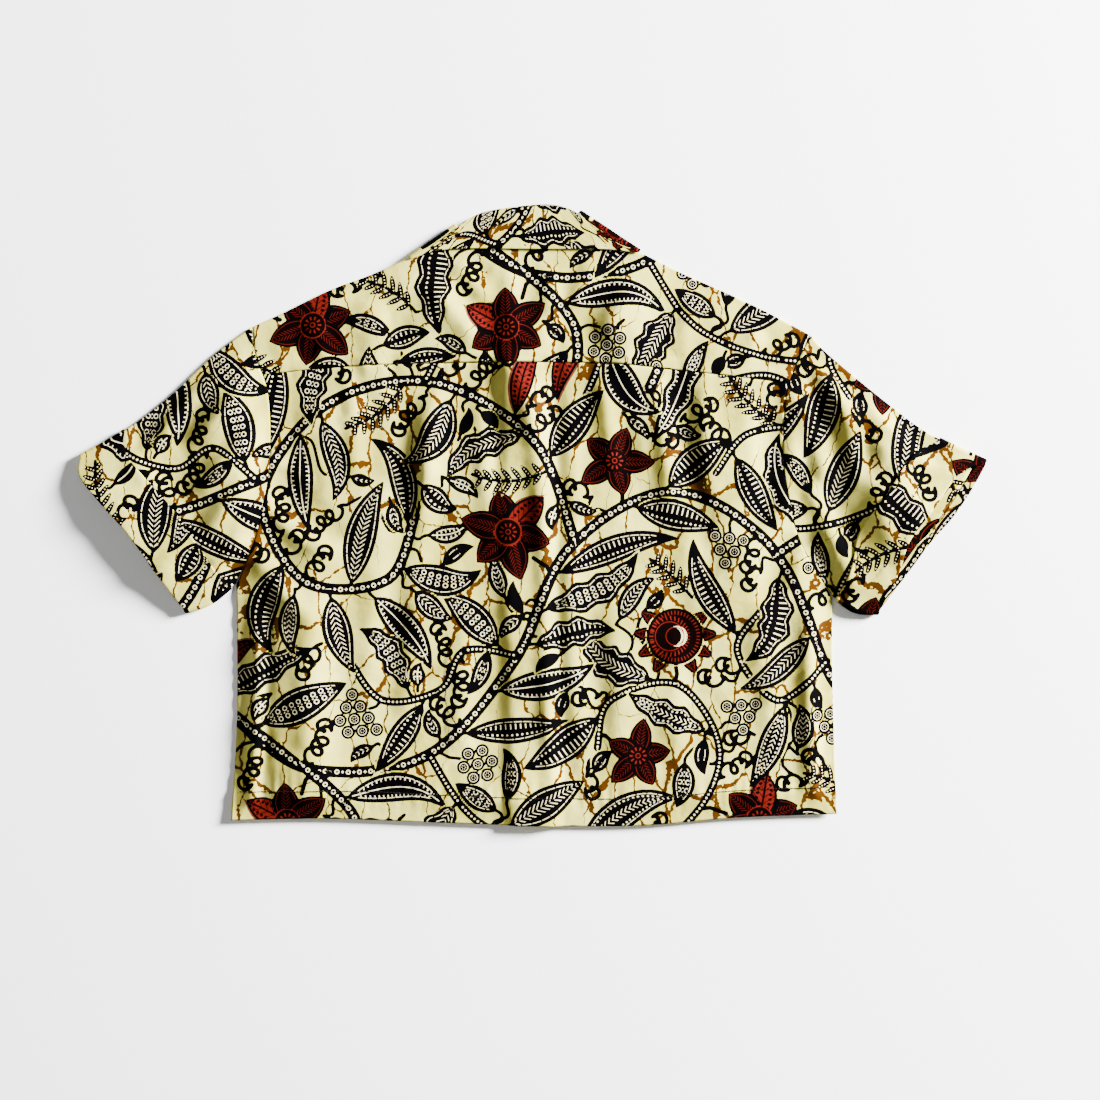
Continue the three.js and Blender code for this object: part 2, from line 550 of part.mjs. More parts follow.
// ---- Collar: a stand and a leaf that falls over it, carried round the neck from one point to the other 
// Each row is a place round the neck: seam, crease and free edge of the collar in plan. At the two turns
// the collar goes over from the back (0 degrees) to the front (180), about its own crease-to-edge line.
const COLLAR_TURNS = [150, 120, 90, 60, 30];
const COLLAR_PLAN = {
  frontLeft: [
    { seam: [-51.5, 197.5], crease: [-49.5, 199.5], edge: [-103, 183] },
    { seam: [-67.4, 208.3], crease: [-57, 217], edge: [-108.5, 201] },
    { seam: [-85, 226.5], crease: [-64.5, 243], edge: [-112, 220] },
  ],
  turnLeft: { seam: [-96.9, 246.6], crease: [-71.2, 267.8], edge: [-113.5, 238.5], out: [-0.57, 0.822] },
  back: [
    { seam: [-83, 250.2], crease: [-61, 275.3], edge: [-97, 244.6] },
    { seam: [-66, 251.3], crease: [-48.5, 280.8], edge: [-78, 248.2] },
    { seam: [-48, 252], crease: [-34.4, 283.5], edge: [-56, 249] },
    { seam: [-28, 252.4], crease: [-17, 285.8], edge: [-31, 248.7] },
    { seam: [-8, 252.9], crease: [0, 287.4], edge: [-5, 248.4] },
    { seam: [12, 254.1], crease: [13, 288.1], edge: [20, 248.2] },
    { seam: [32, 255.8], crease: [24, 287.2], edge: [44, 248.3] },
    { seam: [52, 257.4], crease: [34, 284.6], edge: [70, 248] },
  ],
  turnRight: { seam: [70.9, 256.5], crease: [43.3, 280.3], edge: [97.5, 244.5], out: [0.551, 0.834] },
  frontRight: [
    { seam: [59.5, 236], crease: [42, 253], edge: [95, 224] },
    { seam: [46.5, 216], crease: [37, 225], edge: [90, 204] },
    { seam: [31.5, 201.5], crease: [29.5, 203.5], edge: [84, 187] },
  ],
};
function collarStations() {
  const flat = (row, turn) => ({ ...row, turn, out: [0, 0] });
  const turning = (row, turns) => turns.map((turn) => ({ ...row, turn }));
  const { frontLeft, turnLeft, back: behind, turnRight, frontRight } = COLLAR_PLAN;
  return [
    ...frontLeft.map((row) => flat(row, 180)),
    ...turning(turnLeft, [180, ...COLLAR_TURNS, 0]),
    ...behind.map((row) => flat(row, 0)),
    ...turning(turnRight, [0, ...[...COLLAR_TURNS].reverse(), 180]),
    ...frontRight.map((row) => flat(row, 180)),
  ];
}
// The section, a hairpin: part is 'seam' along the stand, 'edge' along the leaf, share runs from the
// crease, and height is measured from the collar's middle plane.
function collarSection() {
  const { stand, leaf } = COLLAR;
  const [half, centre, radius] = [CLOTH / 2, (stand + leaf) / 2, (leaf - stand) / 2];
  const turnPoints = (r) => [-60, -20, 20, 60].map((degrees) => {
    const angle = THREE.MathUtils.degToRad(degrees);
    return { part: 'edge', share: 0, beyond: r * Math.cos(angle), height: centre + r * Math.sin(angle) };
  });
  const leg = (part, shares, height) => shares.map((share) => ({ part, share, beyond: 0, height }));
  return [
    ...leg('seam', [1, 0.5, 0], stand - half),
    ...turnPoints(radius + half),
    ...leg('edge', [0, 0.33, 0.67, 1], leaf + half),
    ...leg('edge', [1, 0.67, 0.33, 0], leaf - half),
    ...turnPoints(radius - half).reverse(),
    ...leg('seam', [0, 0.5, 1], stand + half),
  ];
}
function collar() {
  const stations = collarStations();
  const section = collarSection();
  function ring(k) {
    const { turn, out, ...at } = stations[k];
    const [crease, seam, edge] = [at.crease, at.seam, at.edge].map(([x, y]) => new THREE.Vector2(x, y));
    const angle = THREE.MathUtils.degToRad(turn);
    const away = crease.clone().sub(edge).normalize();
    return section.map(({ part, share, beyond, height }) => {
      const target = part === 'seam' ? seam : edge;
      const gap = part === 'seam' ? SEAM / target.distanceTo(crease) : 0;
      const plan = crease.clone().lerp(target, share * (1 - gap)).addScaledVector(away, beyond);
      const [up, aside] = [height * Math.cos(angle), height * Math.sin(angle)];
      return new THREE.Vector3(plan.x + out[0] * aside, plan.y + out[1] * aside, COLLAR.middle + up);
    });
  }
  // The hairpin's ends are capped as a strip between its outside and its inside.
  const n = section.length;
  const caps = [];
  for (let i = 0; i + 1 < n / 2; i += 1) {
    caps.push([i, i + 1, n - 2 - i], [i, n - 2 - i, n - 1 - i]);
  }
  return loft(stations.length, ring, caps);
}

// ---- Buttons: on the outside of the fronts, through their buttonholes ---------------------------
function button(k) {
  const { radius, thick, hole, holeAt, bevel, top, pitch } = BUTTONS;
  const disc = new THREE.Shape().absarc(0, 0, radius - bevel, 0, 2 * Math.PI);
  for (const [x, y] of [[1, 1], [-1, 1], [-1, -1], [1, -1]]) {
    disc.holes.push(new THREE.Path().absarc(x * holeAt, y * holeAt, hole, 0, 2 * Math.PI, true));
  }
  const geometry = new THREE.ExtrudeGeometry(disc, {
    depth: thick - 2 * bevel, bevelThickness: bevel, bevelSize: bevel, bevelOffset: 0, bevelSegments: 1,
    curveSegments: 7, steps: 1,
  });
  const mesh = meshOf(`button_${k + 1}`, BUTTON, geometry);
  const y = top - pitch * k;
  mesh.position.set(centreFront(y), y, bevel);
  return mesh;
}

// ---- The shirt ----------------------------------------------------------------------------------
const shirt = new THREE.Group();
shirt.add(
  meshOf('yoke', PRINTED_COTTON, yoke()),
  meshOf('back', PRINTED_COTTON, back()),
  meshOf('collar', PRINTED_COTTON, collar()),
);
for (const side of ['left', 'right']) {
  shirt.add(
    meshOf(`front_${side}`, PRINTED_COTTON, front(side)),
    meshOf(`sleeve_${side}`, PRINTED_COTTON, sleeve(side)),
    meshOf(`cuff_${side}`, PRINTED_COTTON, cuff(side)),
    meshOf(`lapel_${side}`, PRINTED_COTTON, lapel(side)),
  );
}
for (let k = 0; k < BUTTONS.count; k += 1) shirt.add(button(k));

export default shirt;
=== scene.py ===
# %% [markdown]
# # A printed camp-collar shirt, laid flat with its back up
#
# The solids of the shirt are ready: every piece of cloth lies where it was sewn, as a plain wall. This lesson
# dresses them. Each piece gets a finer shell on the same form, with soft folds, seams and a turned hem, and then
# the print: dotted vines, leaves, ferns, berries and flowers on a cream ground with ochre crackle, as wax-printed
# cotton has. The motifs are worked out as distances on the cloth itself, so they bend and fold with it.

import bpy
import numpy as np
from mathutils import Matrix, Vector


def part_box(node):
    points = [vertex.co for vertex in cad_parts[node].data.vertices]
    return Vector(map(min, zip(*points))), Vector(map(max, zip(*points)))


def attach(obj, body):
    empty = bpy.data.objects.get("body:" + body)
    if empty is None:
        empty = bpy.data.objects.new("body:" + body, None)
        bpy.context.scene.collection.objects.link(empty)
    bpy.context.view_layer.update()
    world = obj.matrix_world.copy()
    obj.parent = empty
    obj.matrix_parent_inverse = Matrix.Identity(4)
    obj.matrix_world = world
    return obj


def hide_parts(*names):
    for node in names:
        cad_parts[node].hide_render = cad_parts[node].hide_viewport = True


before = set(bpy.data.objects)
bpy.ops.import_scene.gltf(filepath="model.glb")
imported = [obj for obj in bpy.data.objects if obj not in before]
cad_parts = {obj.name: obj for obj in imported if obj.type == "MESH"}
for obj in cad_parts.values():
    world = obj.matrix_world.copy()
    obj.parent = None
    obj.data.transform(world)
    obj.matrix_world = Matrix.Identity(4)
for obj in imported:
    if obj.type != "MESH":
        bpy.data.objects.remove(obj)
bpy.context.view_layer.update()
MM = 0.001

# %% [markdown]
# ## The pattern sheet
#
# A tailor works from a few lines: where the shoulders, sleeves and sides end, where the seams run. The tables
# hold the same points as the solids do, in millimetres, and a smooth line runs through each. `line` returns a
# function of the share of the length, because pieces that are sewn together must meet at equal shares.

# %% Lines and patches
CLOTH = 0.8         # thickness of the shell, thinner than the solids' walls
SOLID_CLOTH = 1.2   # the solids' own wall, from which the layers are stacked
SEAM = 0.4          # between two pieces that are sewn together
DENSE = 2400        # samples along a line


def mix(a, b, share):
    """The value at that share of the way from a to b."""
    return a + (b - a) * share


def ramp(value, low, high):
    """A soft step: 0 up to low, 1 from high on."""
    t = np.clip((np.asarray(value, float) - low) / (high - low), 0, 1)
    return t * t * (3 - 2 * t)


def line(table):
    """A smooth curve through the table's points, a cubic between each two with slopes from their neighbours.

    The result gives the points at shares of its length, moved off to its left by off."""
    p = np.array(table, float)
    padded = np.vstack([p[:1], p, p[-1:]])
    u = np.linspace(0, len(p) - 1, DENSE)
    k = np.minimum(u.astype(int), len(p) - 2)
    t = (u - k)[:, None]
    p0, p1, p2, p3 = (padded[k + i] for i in range(4))
    v0, v1 = (p2 - p0) / 2, (p3 - p1) / 2
    curve = (2 * p1 - 2 * p2 + v0 + v1) * t**3 + (3 * p2 - 3 * p1 - 2 * v0 - v1) * t**2 + v0 * t + p1
    length = np.concatenate([[0], np.cumsum(np.linalg.norm(np.diff(curve, axis=0), axis=1))])
    tangent = np.gradient(curve, axis=0)
    tangent /= np.linalg.norm(tangent, axis=1)[:, None]

    def at(share, off=0.0):
        s = np.clip(share, 0, 1) * length[-1]
        x, y, tx, ty = (np.interp(s, length, c) for c in (*curve.T, *tangent.T))
        return np.stack([x - off * ty, y + off * tx], -1)

    at.length = length[-1]
    return at


def patch(start, finish, near, far):
    """A surface between four lines: straight from start to finish, plus the bends of near and far, which fade."""
    def bend(edge, t):
        return edge(t) - mix(edge(0.0), edge(1.0), t[..., None])

    def at(s, t):
        s, t = np.broadcast_arrays(np.asarray(s, float), np.asarray(t, float))
        flat = mix(start(s), finish(s), t[..., None])
        return flat + bend(near, t) * (1 - s[..., None]) + bend(far, t) * s[..., None]

    return at


def off_line(p, a, b):
    """The distance of points p from the straight stretch a to b, along it as a share, and signed across it."""
    a, axis = np.array(a, float), np.array(b, float) - np.array(a, float)
    size = np.linalg.norm(axis)
    rel = p - a
    share = (rel @ axis) / size**2
    across = (axis[0] * rel[..., 1] - axis[1] * rel[..., 0]) / size
    near = rel - np.clip(share, 0, 1)[..., None] * axis
    return np.hypot(near[..., 0], near[..., 1]), share, across


# %% The outlines, in millimetres
SHOULDER = {
    "left": [(-262, 176.5), (-232, 190), (-189, 211), (-142, 228.5), (-98, 248.5)],
    "right": [(259, 168.5), (218, 190.3), (179.5, 208.5), (140, 226), (72, 258.5)],
}
SLEEVE_TOP = {
    "left": [(-262, 176.5), (-298, 149.5), (-338, 112), (-386, 75.5), (-421.5, 55.5)],
    "right": [(259, 168.5), (274, 152), (330, 105.5), (372, 75), (424, 49.5)],
}
SLEEVE_UNDER = {
    "left": [(-277, -64), (-301, -82), (-324.5, -89.5)],
    "right": [(279, -76), (300, -89.5), (322, -91)],
}
MOUTH = {
    ("left", "upper"): [(-421.5, 55.5), (-421.5, 36), (-398, 7.5), (-375, -18), (-345, -61), (-324.5, -89.5)],
    ("left", "lower"): [(-421.5, 55.5), (-420.5, 36), (-397, 7.5), (-374, -18), (-344, -61), (-324.5, -89.5)],
    ("right", "upper"): [(424, 49.5), (397, 39), (371, 5), (348, -24), (339, -55), (322, -91)],
    ("right", "lower"): [(424, 49.5), (410, 24), (393, -1), (372, -25), (351, -53), (322, -91)],
}
ARMHOLE = {
    "left": [(-262, 176.5), (-259, 150), (-248, 118), (-245, 78), (-247, 34), (-259, -21), (-277, -64)],
    "right": [(259, 168.5), (243, 136), (235, 110), (233, 66), (236, 30), (249, -24), (279, -76)],
}
SIDE = {
    "left": [(-277, -64), (-276, -146), (-277, -205), (-281.5, -284)],
    "right": [(279, -76), (279.5, -150), (281, -210), (283, -278)],
}
YOKE_SEAM = [(-198, 137), (-124, 141), (-12, 142.5), (67, 141.5), (155, 133.5)]  # between the armholes
HEM_LINE = [(-281.5, -284), (-191, -282.5), (-92, -286), (0, -289), (98, -289), (190, -281.5), (283, -278)]
NECK_SEAM = [(-98, 248.5), (-60, 251), (-12, 252.5), (35, 255.5), (72, 258.5)]
FRONT_EDGE = {
    "left": [(-84, 223.5), (-68, 206), (-50, 194), (-16, 171), (4, 157), (5, 120), (9, -100), (14, -289)],
    "right": [(59, 233.5), (46, 214), (30, 198), (-6, 171.5), (-24, 157), (-23, 120), (-19, -100), (-14, -288.8)],
}
YOKE_SHARE = {"left": {"back": 0.181, "front": 0.13}, "right": {"back": 0.185, "front": 0.13}}
CUFF_DEPTH = {"left": (48, 48), "right": (48, 42)}   # at the top fold and at the underarm
CUFF = {"gap": 1.9, "inside": 10, "fade": 14}
COLLAR = {"stand": 1.8, "leaf": 4, "middle": 4.6}
HEM_DEPTH = 28
SIGN = {"left": -1, "right": 1}
print("outline lines:", sum(len(t) for t in (SHOULDER, SLEEVE_TOP, SLEEVE_UNDER, MOUTH, ARMHOLE, SIDE)) + 3)

# %% [markdown]
# ## How high each layer lies
#
# Cloth on a table is a stack: fronts on the table, back on the fronts, and more at the collar, the cuffs and over
# the buttons. Two height functions, one for the lower layer and one for the upper, serve all pieces, so that
# their seams agree. They are the solids' own functions, without the folds, which come in the next step.

# %% Heights of the layers
FLOOR = SOLID_CLOTH / 2
LAYER = SOLID_CLOTH + 0.7
OPEN = {"fold": 3, "side": 1.6, "hem": 3.4, "inside": 5.4, "rise": 30}
NECK = {"x": -12, "half": 112, "fade": 38}
PLACKET = {"top_x": -10, "hem_x": 0, "top_y": 168, "hem_y": -288, "half": 14, "lift": 2.7, "flat": 13, "fade": 32}
CLOSED_EDGES = [
    *SHOULDER.values(), *SLEEVE_TOP.values(), *SLEEVE_UNDER.values(), *SIDE.values(), HEM_LINE,
]


def near_edge(p):
    """How far points p are from the nearest closed edge of the shirt."""
    stretches = [(a, b) for table in CLOSED_EDGES for a, b in zip(table, table[1:])]
    return np.min([off_line(p, a, b)[0] for a, b in stretches], axis=0)


def centre_front(y):
    return mix(PLACKET["hem_x"], PLACKET["top_x"], (y - PLACKET["hem_y"]) / (PLACKET["top_y"] - PLACKET["hem_y"]))


def near_neck(x):
    return 1 - ramp(np.abs(x - NECK["x"]), NECK["half"], NECK["half"] + NECK["fade"])


def front_height(p):
    """Middle of the lower layer: on the floor, higher over the collar or over the buttons."""
    x, y = p[..., 0], p[..., 1]
    over_collar = (COLLAR["middle"] - COLLAR["stand"] - FLOOR) * near_neck(x) * ramp(y, 110, 150)
    beside = 1 - ramp(np.abs(x - centre_front(y)), PLACKET["flat"], PLACKET["fade"])
    return FLOOR + np.maximum(over_collar, PLACKET["lift"] * beside * (1 - ramp(y, 150, 175)))


def inner_front_height(p):
    """The wearer's right front, which rises over the edge of the left one."""
    x, y = p[..., 0], p[..., 1]
    edge = centre_front(y) + PLACKET["half"]
    return front_height(p) + LAYER * (1 - ramp(x, edge + 2, edge + 16)) * (1 - ramp(y, 172, 190))


def back_height(p):
    """Middle of the upper layer without its folds: above the fronts by the height of the stack there."""
    x, y = p[..., 0], p[..., 1]
    edge = near_edge(p)
    on_body = (1 - ramp(y, -60, -30)) * (1 - ramp(np.abs(x), 283, 296))
    at_edge = mix(OPEN["fold"], mix(OPEN["side"], OPEN["hem"], 1 - ramp(y, -270, -230)), on_body)
    loose = mix(at_edge, OPEN["inside"], ramp(edge, 0, OPEN["rise"]))
    at_neck = near_neck(x) * ramp(y, 205, 232)
    left, right = centre_front(y) - PLACKET["half"], centre_front(y) + PLACKET["half"]
    two_fronts = ramp(x, left - 16, left - 2) * (1 - ramp(x, right + 2, right + 16)) * (1 - ramp(y, 172, 190))
    return front_height(p) + LAYER * two_fronts + mix(loose, 2 * COLLAR["stand"], at_neck)


print("stack at mid back:", float(back_height(np.array([-150.0, 0.0])).round(2)), "mm")

# %% [markdown]
# ## Folds
#
# A shirt that is dropped on a table keeps soft folds: long ones from the yoke to the hem, short ones that fan out
# from the underarms and from the shoulder into the sleeve. They could be simulated, but then they fall where they
# like. Here each is a ridge from a table: a bell across its line, with a shallower trough on one side, that
# fades at both ends. Two layers of soft noise add the unevenness between them.

# %% Folds of the back
# each row: x and y of its start, x and y of its end, bow, width, height, and the share of a trough on one side
BACK_FOLDS = [
    # long folds of the back, from the yoke down
    (-4, 118, 10, -60, 3, 10, 2.6, 0.5),
    (10, -50, 21, -262, -3, 9, 2.6, 0.6),
    (34, 128, 40, -20, -2, 9, 1.3, 0.4),
    (113, 134, 127, -8, 3, 10, 3.2, 0.55),
    (140, 60, 152, -90, -4, 12, 1.7, 0.4),
    (62, 132, 74, 30, 2, 9, 2.2, 0.6),
    (160, 124, 164, 14, -3, 10, 2.2, -0.5),
    (196, 112, 203, 6, 4, 12, 1.6, -0.5),
    (-172, 130, -168, 24, 3, 10, 2.2, 0.5),
    (-212, 118, -214, 20, -3, 12, 1.8, -0.4),
    (-86, 130, -104, -34, -4, 11, 3.0, -0.55),
    (-50, 120, -46, 10, 2, 9, 1.5, 0.5),
    (-108, -30, -126, -212, 4, 13, 2.4, -0.5),
    (-60, -70, -66, -240, -3, 13, 1.8, 0.4),
    (70, -70, 82, -250, 3, 14, 2.0, 0.4),
    (132, -100, 140, -262, -3, 12, 1.7, -0.5),
    (198, -30, 222, -236, 5, 14, 2.6, 0.5),
    (-196, -60, -206, -250, -5, 14, 2.2, 0.45),
    (-256, -84, -262, -266, 2, 8, 2.8, -0.6),
    (256, -96, 262, -262, -2, 8, 2.4, 0.6),
    # fanning out from the underarms
    (-252, 16, -180, -40, -6, 11, 2.8, 0.5),
    (-262, -24, -206, -96, -5, 11, 2.6, 0.5),
    (-248, 52, -206, 26, 3, 9, 1.5, 0.4),
    (240, 18, 190, -38, 6, 11, 2.5, -0.5),
    (254, -34, 206, -104, 5, 11, 2.4, -0.5),
    # drag lines under the collar and in the yoke
    (-104, 214, -52, 158, 5, 12, 2.6, 0.5),
    (-70, 240, -40, 196, -3, 9, 1.6, 0.5),
    (94, 212, 66, 158, -5, 12, 2.4, -0.5),
    (54, 240, 36, 194, 3, 9, 1.6, -0.5),
    (-150, 200, -138, 150, 2, 10, 1.4, 0.4),
    (-206, 180, -196, 142, 2, 10, 1.5, -0.5),
    (150, 200, 138, 146, -2, 10, 1.4, -0.4),
    (206, 176, 198, 138, 2, 9, 1.4, 0.5),
    (14, 232, 18, 176, 1, 8, 1.2, 0.4),
    (-20, 236, -18, 160, -2, 9, 1.3, 0.5),
]
print("folds on the back:", len(BACK_FOLDS))

# %% Folds of the sleeves, and broad swells
SLEEVE_FOLDS = {
    "left": [
        (-250, 96, -322, 18, 8, 12, 3.6, 0.6),
        (-262, 128, -318, 70, 6, 10, 3.2, 0.5),
        (-256, 60, -318, -36, 6, 12, 2.6, -0.5),
        (-292, 140, -344, 78, -4, 9, 2.4, 0.5),
        (-258, 18, -296, -54, 4, 10, 2.4, 0.5),
        (-330, 92, -384, 40, 3, 10, 2.0, -0.5),
        (-352, 40, -396, -2, 3, 11, 1.6, 0.4),
        (-318, -16, -352, -56, 3, 10, 1.8, 0.5),
    ],
    "right": [
        (262, 144, 300, 34, 8, 10, 3.8, 0.6),
        (244, 112, 272, 18, 5, 11, 3.0, -0.5),
        (284, 120, 330, 54, -5, 11, 2.6, 0.5),
        (248, 34, 288, -44, 5, 10, 3.0, 0.6),
        (306, 40, 330, -40, 5, 12, 2.2, 0.5),
        (262, -6, 296, -70, 4, 9, 2.0, -0.5),
        (330, 86, 376, 38, -3, 10, 2.0, 0.5),
        (352, 20, 340, -44, 4, 12, 1.8, -0.4),
    ],
}
BROAD_FOLDS = [
    # swells on which a low light from the right leaves the left flank in shade
    (-212, -36, -214, -296, 0, 30, 8.4, 0),
    (-266, -60, -270, -292, 0, 9, 3.4, 0),
    (-248, -50, -250, -292, 0, 7, -2.6, 0),
    (-24, 150, 2, 66, 3, 14, 4.4, 0.3),
    (-284, 142, -290, -40, 6, 29, 10.0, 0.35),
    (32, 4, 42, -236, -3, 13, 4.6, 0.4),
    (-160, 206, -150, 108, 2, 14, 3.6, 0.3),
    (-112, 136, -98, 18, 3, 15, 4.2, 0.3),
    (-40, 60, -24, -110, -4, 16, 3.4, 0.3),
    (-146, -20, -158, -220, 4, 17, 3.4, 0.3),
    (84, 214, 92, 70, -3, 28, 4.6, 0.3),
    (176, 112, 184, -110, 4, 24, 5.0, 0.3),
    (242, 128, 240, 36, 2, 12, 4.2, 0.4),
    (316, 124, 334, -14, 5, 22, 8.5, 0.4),
    (262, -70, 268, -280, 0, 24, 4.0, 0.3),
    (100, -60, 116, -250, -4, 20, 3.2, 0.3),
    (-196, 118, -188, 10, -3, 15, 3.0, 0.3),
]
print("on the sleeves:", sum(map(len, SLEEVE_FOLDS.values())), "and broad swells:", len(BROAD_FOLDS))


# %% From folds to heights
def relief(p, folds):
    """The height that the folds add at points p, in millimetres: bells across bowed lines, with a trough beside."""
    total = np.zeros(p.shape[:-1])
    for x0, y0, x1, y1, bow, width, height, trough in folds:
        _, share, across = off_line(p, (x0, y0), (x1, y1))
        off = across - bow * 4 * share * (1 - share)
        ends = ramp(share, -0.12, 0.25) * (1 - ramp(share, 0.7, 1.12))
        side = np.sign(trough) * 1.7 * width
        bell = np.exp(-((off / width) ** 2)) - abs(trough) * np.exp(-(((off - side) / (1.2 * width)) ** 2))
        total += height * ends * bell
    return total


def noise(p, pitch, seed):
    """Smooth noise from -1 to 1: random heights on a square lattice of that pitch, blended softly between."""
    lattice = np.random.default_rng(seed).uniform(-1, 1, (64, 64))
    q = p / pitch + 17.3 * (seed % 5)
    cell = np.floor(q).astype(int)
    within = q - cell
    weight = within ** 2 * (3 - 2 * within)
    fx, fy = weight[..., 0], weight[..., 1]
    i, j = cell[..., 0] % 63, cell[..., 1] % 63
    low = mix(lattice[i, j], lattice[i + 1, j], fx)
    high = mix(lattice[i, j + 1], lattice[i + 1, j + 1], fx)
    return mix(low, high, fy)


def crumple(p):
    """Broad swells and finer creases, that make even cloth look handled."""
    turned = p @ np.array([[0.8, 0.6], [-0.6, 0.8]])
    creases = 1 - 2 * np.abs(noise(turned * [1, 0.45], 26, 3))
    return 1.1 * noise(p, 62, 1) + 0.9 * noise(turned, 29, 2) + 0.6 * creases + 0.32 * noise(p, 13, 4)


FOLD_GAIN = 1.5
DEEPEST = 3.1  # a trough can't press through the layer below
FADE = 22      # folds have died away at a closed edge and are whole this far in


def upper(p):
    """Middle of the upper layer with its folds, which die away towards the closed edges."""
    folds = relief(p, BACK_FOLDS)
    for name, table in SLEEVE_FOLDS.items():
        folds = folds + relief(p, table) * ramp(SIGN[name] * p[..., 0], 226, 262)
    shape = FOLD_GAIN * folds + relief(p, BROAD_FOLDS) + crumple(p)
    shape = np.where(shape < 0, -DEEPEST * np.tanh(-shape / DEEPEST), shape)
    edge = near_edge(p)
    quiet = near_neck(p[..., 0]) * ramp(p[..., 1], 226, 246)
    return back_height(p) + shape * ramp(edge, 1, FADE) * (1 - 0.8 * quiet)


def lower(p):
    """Middle of the lower layer, which the floor keeps flat."""
    return front_height(p)


print("height at mid back with folds:", float(upper(np.array([-150.0, 0.0])).round(2)), "mm")

# %% [markdown]
# ## A wall from a grid
#
# Every piece is a grid of points at the middle of the cloth. `wall` moves them out to both faces along the
# normals and closes the free edges. The face that nobody sees needs fewer points, so it may be coarser by a whole
# number, and each coarse edge is joined to its fine ones by a small fan. A piece carries two flat coordinates
# with it, the place of each point on the uncut cloth in millimetres, from which the print is worked out later.


# %% Build a wall
def cell_normals(grid, keep):
    """Unit normals at the points: the sum of the crossed diagonals of the cells around each."""
    diagonal = grid[1:, 1:] - grid[:-1, :-1]
    other = grid[1:, :-1] - grid[:-1, 1:]
    cross = np.cross(diagonal, other)
    cross /= np.linalg.norm(cross, axis=-1)[..., None] + 1e-12
    cross[~keep] = 0
    total = np.zeros_like(grid)
    for rows, columns in ((slice(None, -1), slice(None, -1)), (slice(1, None), slice(None, -1)),
                          (slice(None, -1), slice(1, None)), (slice(1, None), slice(1, None))):
        total[rows, columns] += cross
    return total


def wall(name, grid, cloth_xy, coarse=1, closed=False, keep=None, thick=None):
    """A closed shell on a grid (rows, columns, 3) in millimetres, with its place on the cloth (rows, columns, 2).

    With closed, the last column repeats the first. keep marks the cells that there are, in coarse cells' blocks."""
    rows, columns = grid.shape[0] - 1, grid.shape[1] - 1
    keep = np.ones((rows, columns), bool) if keep is None else keep
    normal = cell_normals(grid, keep)
    if closed:
        normal[:, 0] = normal[:, -1] = normal[:, 0] + normal[:, -1]
    normal /= np.linalg.norm(normal, axis=-1)[..., None] + 1e-12
    half = (np.full(grid.shape[:2], CLOTH) if thick is None else thick)[..., None] / 2
    outer = grid + normal * half
    inner = (grid - normal * half)[::coarse, ::coarse]

    def number(shape, first):
        ids = first + np.arange(shape[0] * shape[1]).reshape(shape)
        if closed:
            ids[:, -1] = ids[:, 0]
        return ids

    out_id = number(outer.shape[:2], 0)
    in_id = number(inner.shape[:2], out_id.size)
    kept = keep[::coarse, ::coarse]

    def quads(ids, cells):
        return np.stack([ids[:-1, :-1], ids[:-1, 1:], ids[1:, 1:], ids[1:, :-1]], -1)[cells]

    front = quads(out_id, keep)
    behind = quads(in_id, kept)[:, ::-1]
    fans = rim(out_id, in_id, kept, coarse, closed)
    points = np.concatenate([outer.reshape(-1, 3), inner.reshape(-1, 3)])
    flat = np.concatenate([cloth_xy.reshape(-1, 2), cloth_xy[::coarse, ::coarse].reshape(-1, 2)])
    return mesh_piece(name, points, flat, [front, behind, fans], printed=2 if coarse == 1 else 1)


# %% Close the free edges of a wall
# the four sides of a cell in its own turning order: the neighbour's offset, and the corner run p to q
CELL_SIDES = (
    ((-1, 0), (0, 0), (0, 1)), ((0, 1), (0, 1), (1, 1)), ((1, 0), (1, 1), (1, 0)), ((0, -1), (1, 0), (0, 0)),
)


def rim(out_id, in_id, kept, coarse, closed):
    """Triangles that close the free edges: along each coarse edge, the fine edges fan to its nearer end."""
    rows, columns = kept.shape
    around = np.zeros((rows + 2, columns + 2), bool)
    around[1:-1, 1:-1] = kept
    if closed:
        around[1:-1, 0], around[1:-1, -1] = kept[:, -1], kept[:, 0]
    fans = []
    step = np.arange(coarse + 1)
    for (di, dj), (pi, pj), (qi, qj) in CELL_SIDES:
        free = kept & ~around[1 + di:rows + 1 + di, 1 + dj:columns + 1 + dj]
        i, j = np.nonzero(free)
        if not len(i):
            continue
        p, q = in_id[i + pi, j + pj], in_id[i + qi, j + qj]
        fi = ((i + pi) * coarse)[:, None] + (qi - pi) * step
        fj = ((j + pj) * coarse)[:, None] + (qj - pj) * step
        fine = out_id[fi, fj]
        middle = coarse // 2
        for k in range(coarse):
            end = p if k < middle or coarse == 1 else q
            fans.append(np.stack([fine[:, k], end, fine[:, k + 1]], -1))
        fans.append(np.stack([fine[:, middle] if coarse > 1 else fine[:, 1], p, q], -1))
    return np.concatenate(fans) if fans else np.zeros((0, 3), int)


print("each cell of a wall has", len(CELL_SIDES), "sides to look at")

# %% Put a piece into the scene
printable = {}  # the flat places and the faces of each piece that carries the print


